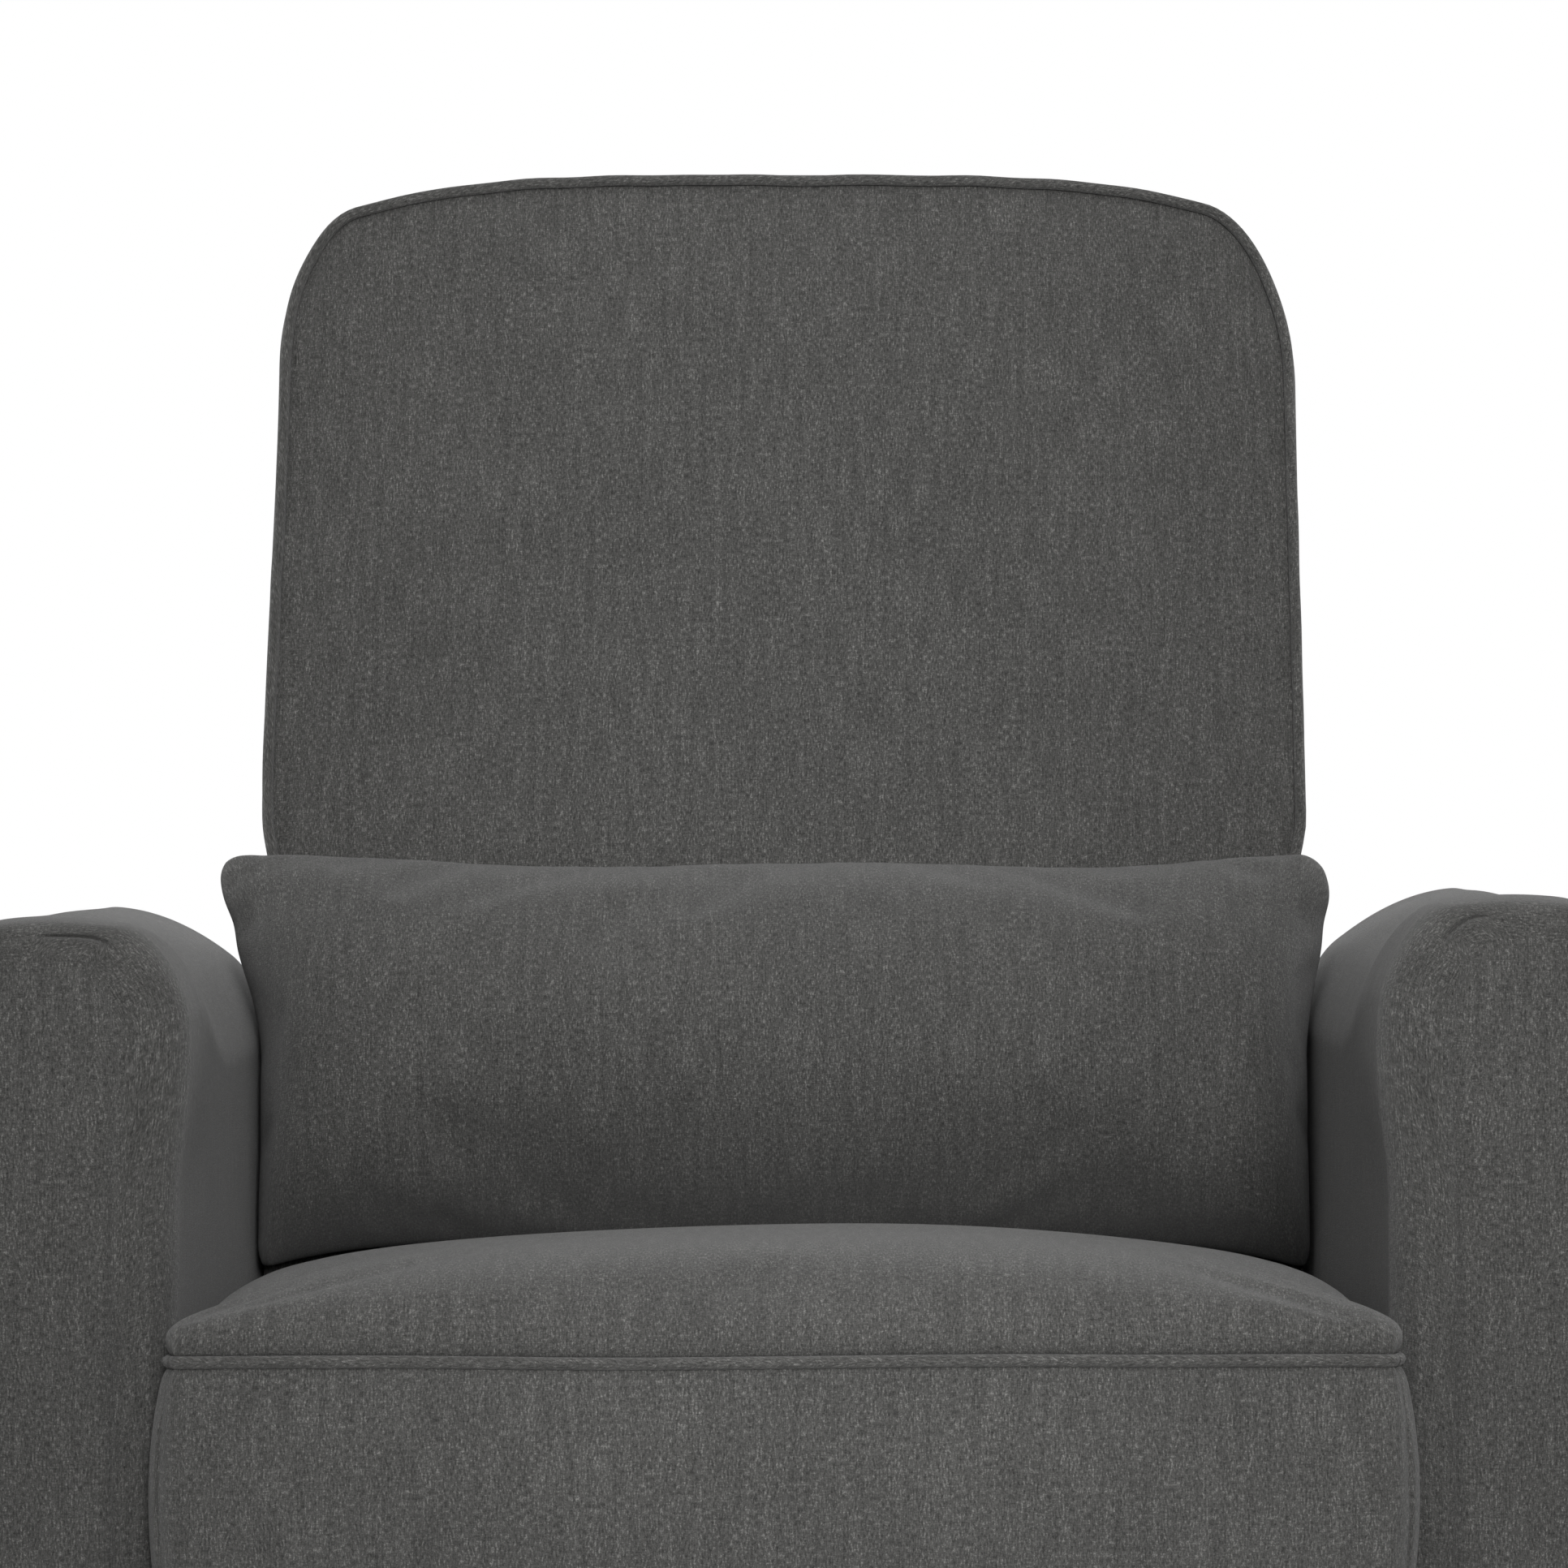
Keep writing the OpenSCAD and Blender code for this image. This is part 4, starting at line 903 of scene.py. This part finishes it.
def make_dust_cover():
    """Thin black cloth pulled across the underside, sagging 6 mm as (1 - u^2)(1 - v^2) between its edges,
    with small puckers where it is stapled."""
    lo, hi = low_high("dust_cover")
    u, v = np.meshgrid(np.linspace(-1, 1, 49), np.linspace(-1, 1, 65))
    x = u * hi[0]
    y = (lo[1] + hi[1]) / 2 + v * (hi[1] - lo[1]) / 2
    pull = 0.0008 * np.sin(x * 95) * (np.abs(v) ** 6) + 0.0006 * np.sin(y * 80) * (np.abs(u) ** 6)
    z = hi[2] - 0.0005 - 0.006 * (1 - u * u) * (1 - v * v) - np.abs(pull)
    piece = new_piece("dust_cover_sheet", np.stack([x, y, z], -1), quads(np.arange(u.size).reshape(u.shape)))
    thick = piece.modifiers.new("thickness", "SOLIDIFY")
    thick.thickness = 0.0006
    thick.offset = 0
    dress(piece, "seat", cover_cloth, "dust_cover_fabric", "dust_cover")


make_seat()
make_back()
make_outside_back()
make_arm(1, "right", -0.0018, 0.002, 0.034)
make_arm(-1, "left", 0.0068, 0.012, 0.056)
make_pillow()
make_board("front_panel_cover", "front_panel", -0.004)
make_board("rear_panel_cover", "rear_panel", 0.0025)
make_deck_pad()
make_dust_cover()

# ---------- floor, light and camera ----------


def make_floor():
    """A round pale floor, a fan of triangles about its middle."""
    sides, radius = 96, 9
    a = np.linspace(0, 2 * np.pi, sides, endpoint=False)
    rim = np.stack([radius * np.cos(a), radius * np.sin(a), 0 * a], -1)
    points = np.concatenate([[[0, 0, 0]], rim])
    ring = np.arange(1, sides + 1)
    faces = np.stack([np.zeros(sides, int), ring, np.roll(ring, -1)], -1)
    floor = new_piece("studio_floor", points, faces)
    n = Nodes("pale_floor")
    at = n.add("ShaderNodeTexCoord").outputs["Object"]
    tone = n.ramp(n.noise(at, 3, 3.0), [(0.3, (0.82, 0.82, 0.81)), (0.7, (0.83, 0.83, 0.82))])
    floor.data.materials.append(n.finish(tone, Roughness=0.7))


def soft_light(name, at, size, watts, towards=(0, 0, 0.55), kind="AREA"):
    """A round soft box, or a soft-edged spot, turned to face a point."""
    light = bpy.data.lights.new(name, kind)
    if kind == "AREA":
        light.shape = "DISK"
        light.size = size
    else:
        light.shadow_soft_size = size
        light.spot_size = 0.5
        light.spot_blend = 1.0
    light.energy = watts
    lamp = bpy.data.objects.new(name, light)
    scene.collection.objects.link(lamp)
    lamp.location = at
    way = np.array(towards, float) - np.array(at, float)
    lamp.rotation_euler = Vector(way).to_track_quat("-Z", "Y").to_euler()
    return lamp


make_floor()
# the world looks white behind the chair and lights it more dimly
world = bpy.data.worlds.new("white_studio")
scene.world = world
world.use_nodes = True
nodes, links = world.node_tree.nodes, world.node_tree.links
seen = nodes["Background"]
seen.inputs["Color"].default_value = (1, 1, 1, 1)
seen.inputs["Strength"].default_value = 1.0
lit = nodes.new("ShaderNodeBackground")
lit.inputs["Color"].default_value = (1, 1, 1, 1)
lit.inputs["Strength"].default_value = 0.32
which = nodes.new("ShaderNodeMixShader")
links.new(nodes.new("ShaderNodeLightPath").outputs["Is Camera Ray"], which.inputs[0])
links.new(lit.outputs[0], which.inputs[1])
links.new(seen.outputs[0], which.inputs[2])
links.new(which.outputs[0], nodes["World Output"].inputs["Surface"])
# name, place, width across, watts and the point it faces
soft_light("top_softbox", (0, -1.5, 1.9), 1.0, 7.6, (0, -0.1, 0.5))
soft_light("overhead_softbox", (0, -0.6, 2.8), 1.6, 6.4)
soft_light("back_softbox", (0, 3.2, 1.0), 1.8, 60, (0, 0, 0.5))
soft_light("left_softbox", (-3.0, 1.0, 0.45), 1.0, 26, (0, 0, 0.4))
soft_light("right_softbox", (3.0, 1.0, 0.45), 1.0, 26, (0, 0, 0.4))
front = soft_light("front_spot", (0.25, -3.0, 1.2), 0.4, 300, (0.03, -0.2, 0.69), "SPOT")
front.scale = (0.62, 1.7, 1.0)  # an upright oval of light over the back and the pillow

EYE_BACK = 3.019  # in front of the arms
EYE_UP = 0.688
camera = bpy.data.cameras.new("front_camera")
camera.sensor_width = 36
camera.lens = 168.8
camera.clip_end = 60
eye = bpy.data.objects.new("front_camera", camera)
scene.collection.objects.link(eye)
eye.location = (0.0, ARM_FRONT - EYE_BACK, EYE_UP)
eye.rotation_euler = (np.pi / 2, 0, 0)
scene.camera = eye
scene.view_settings.view_transform = "Standard"
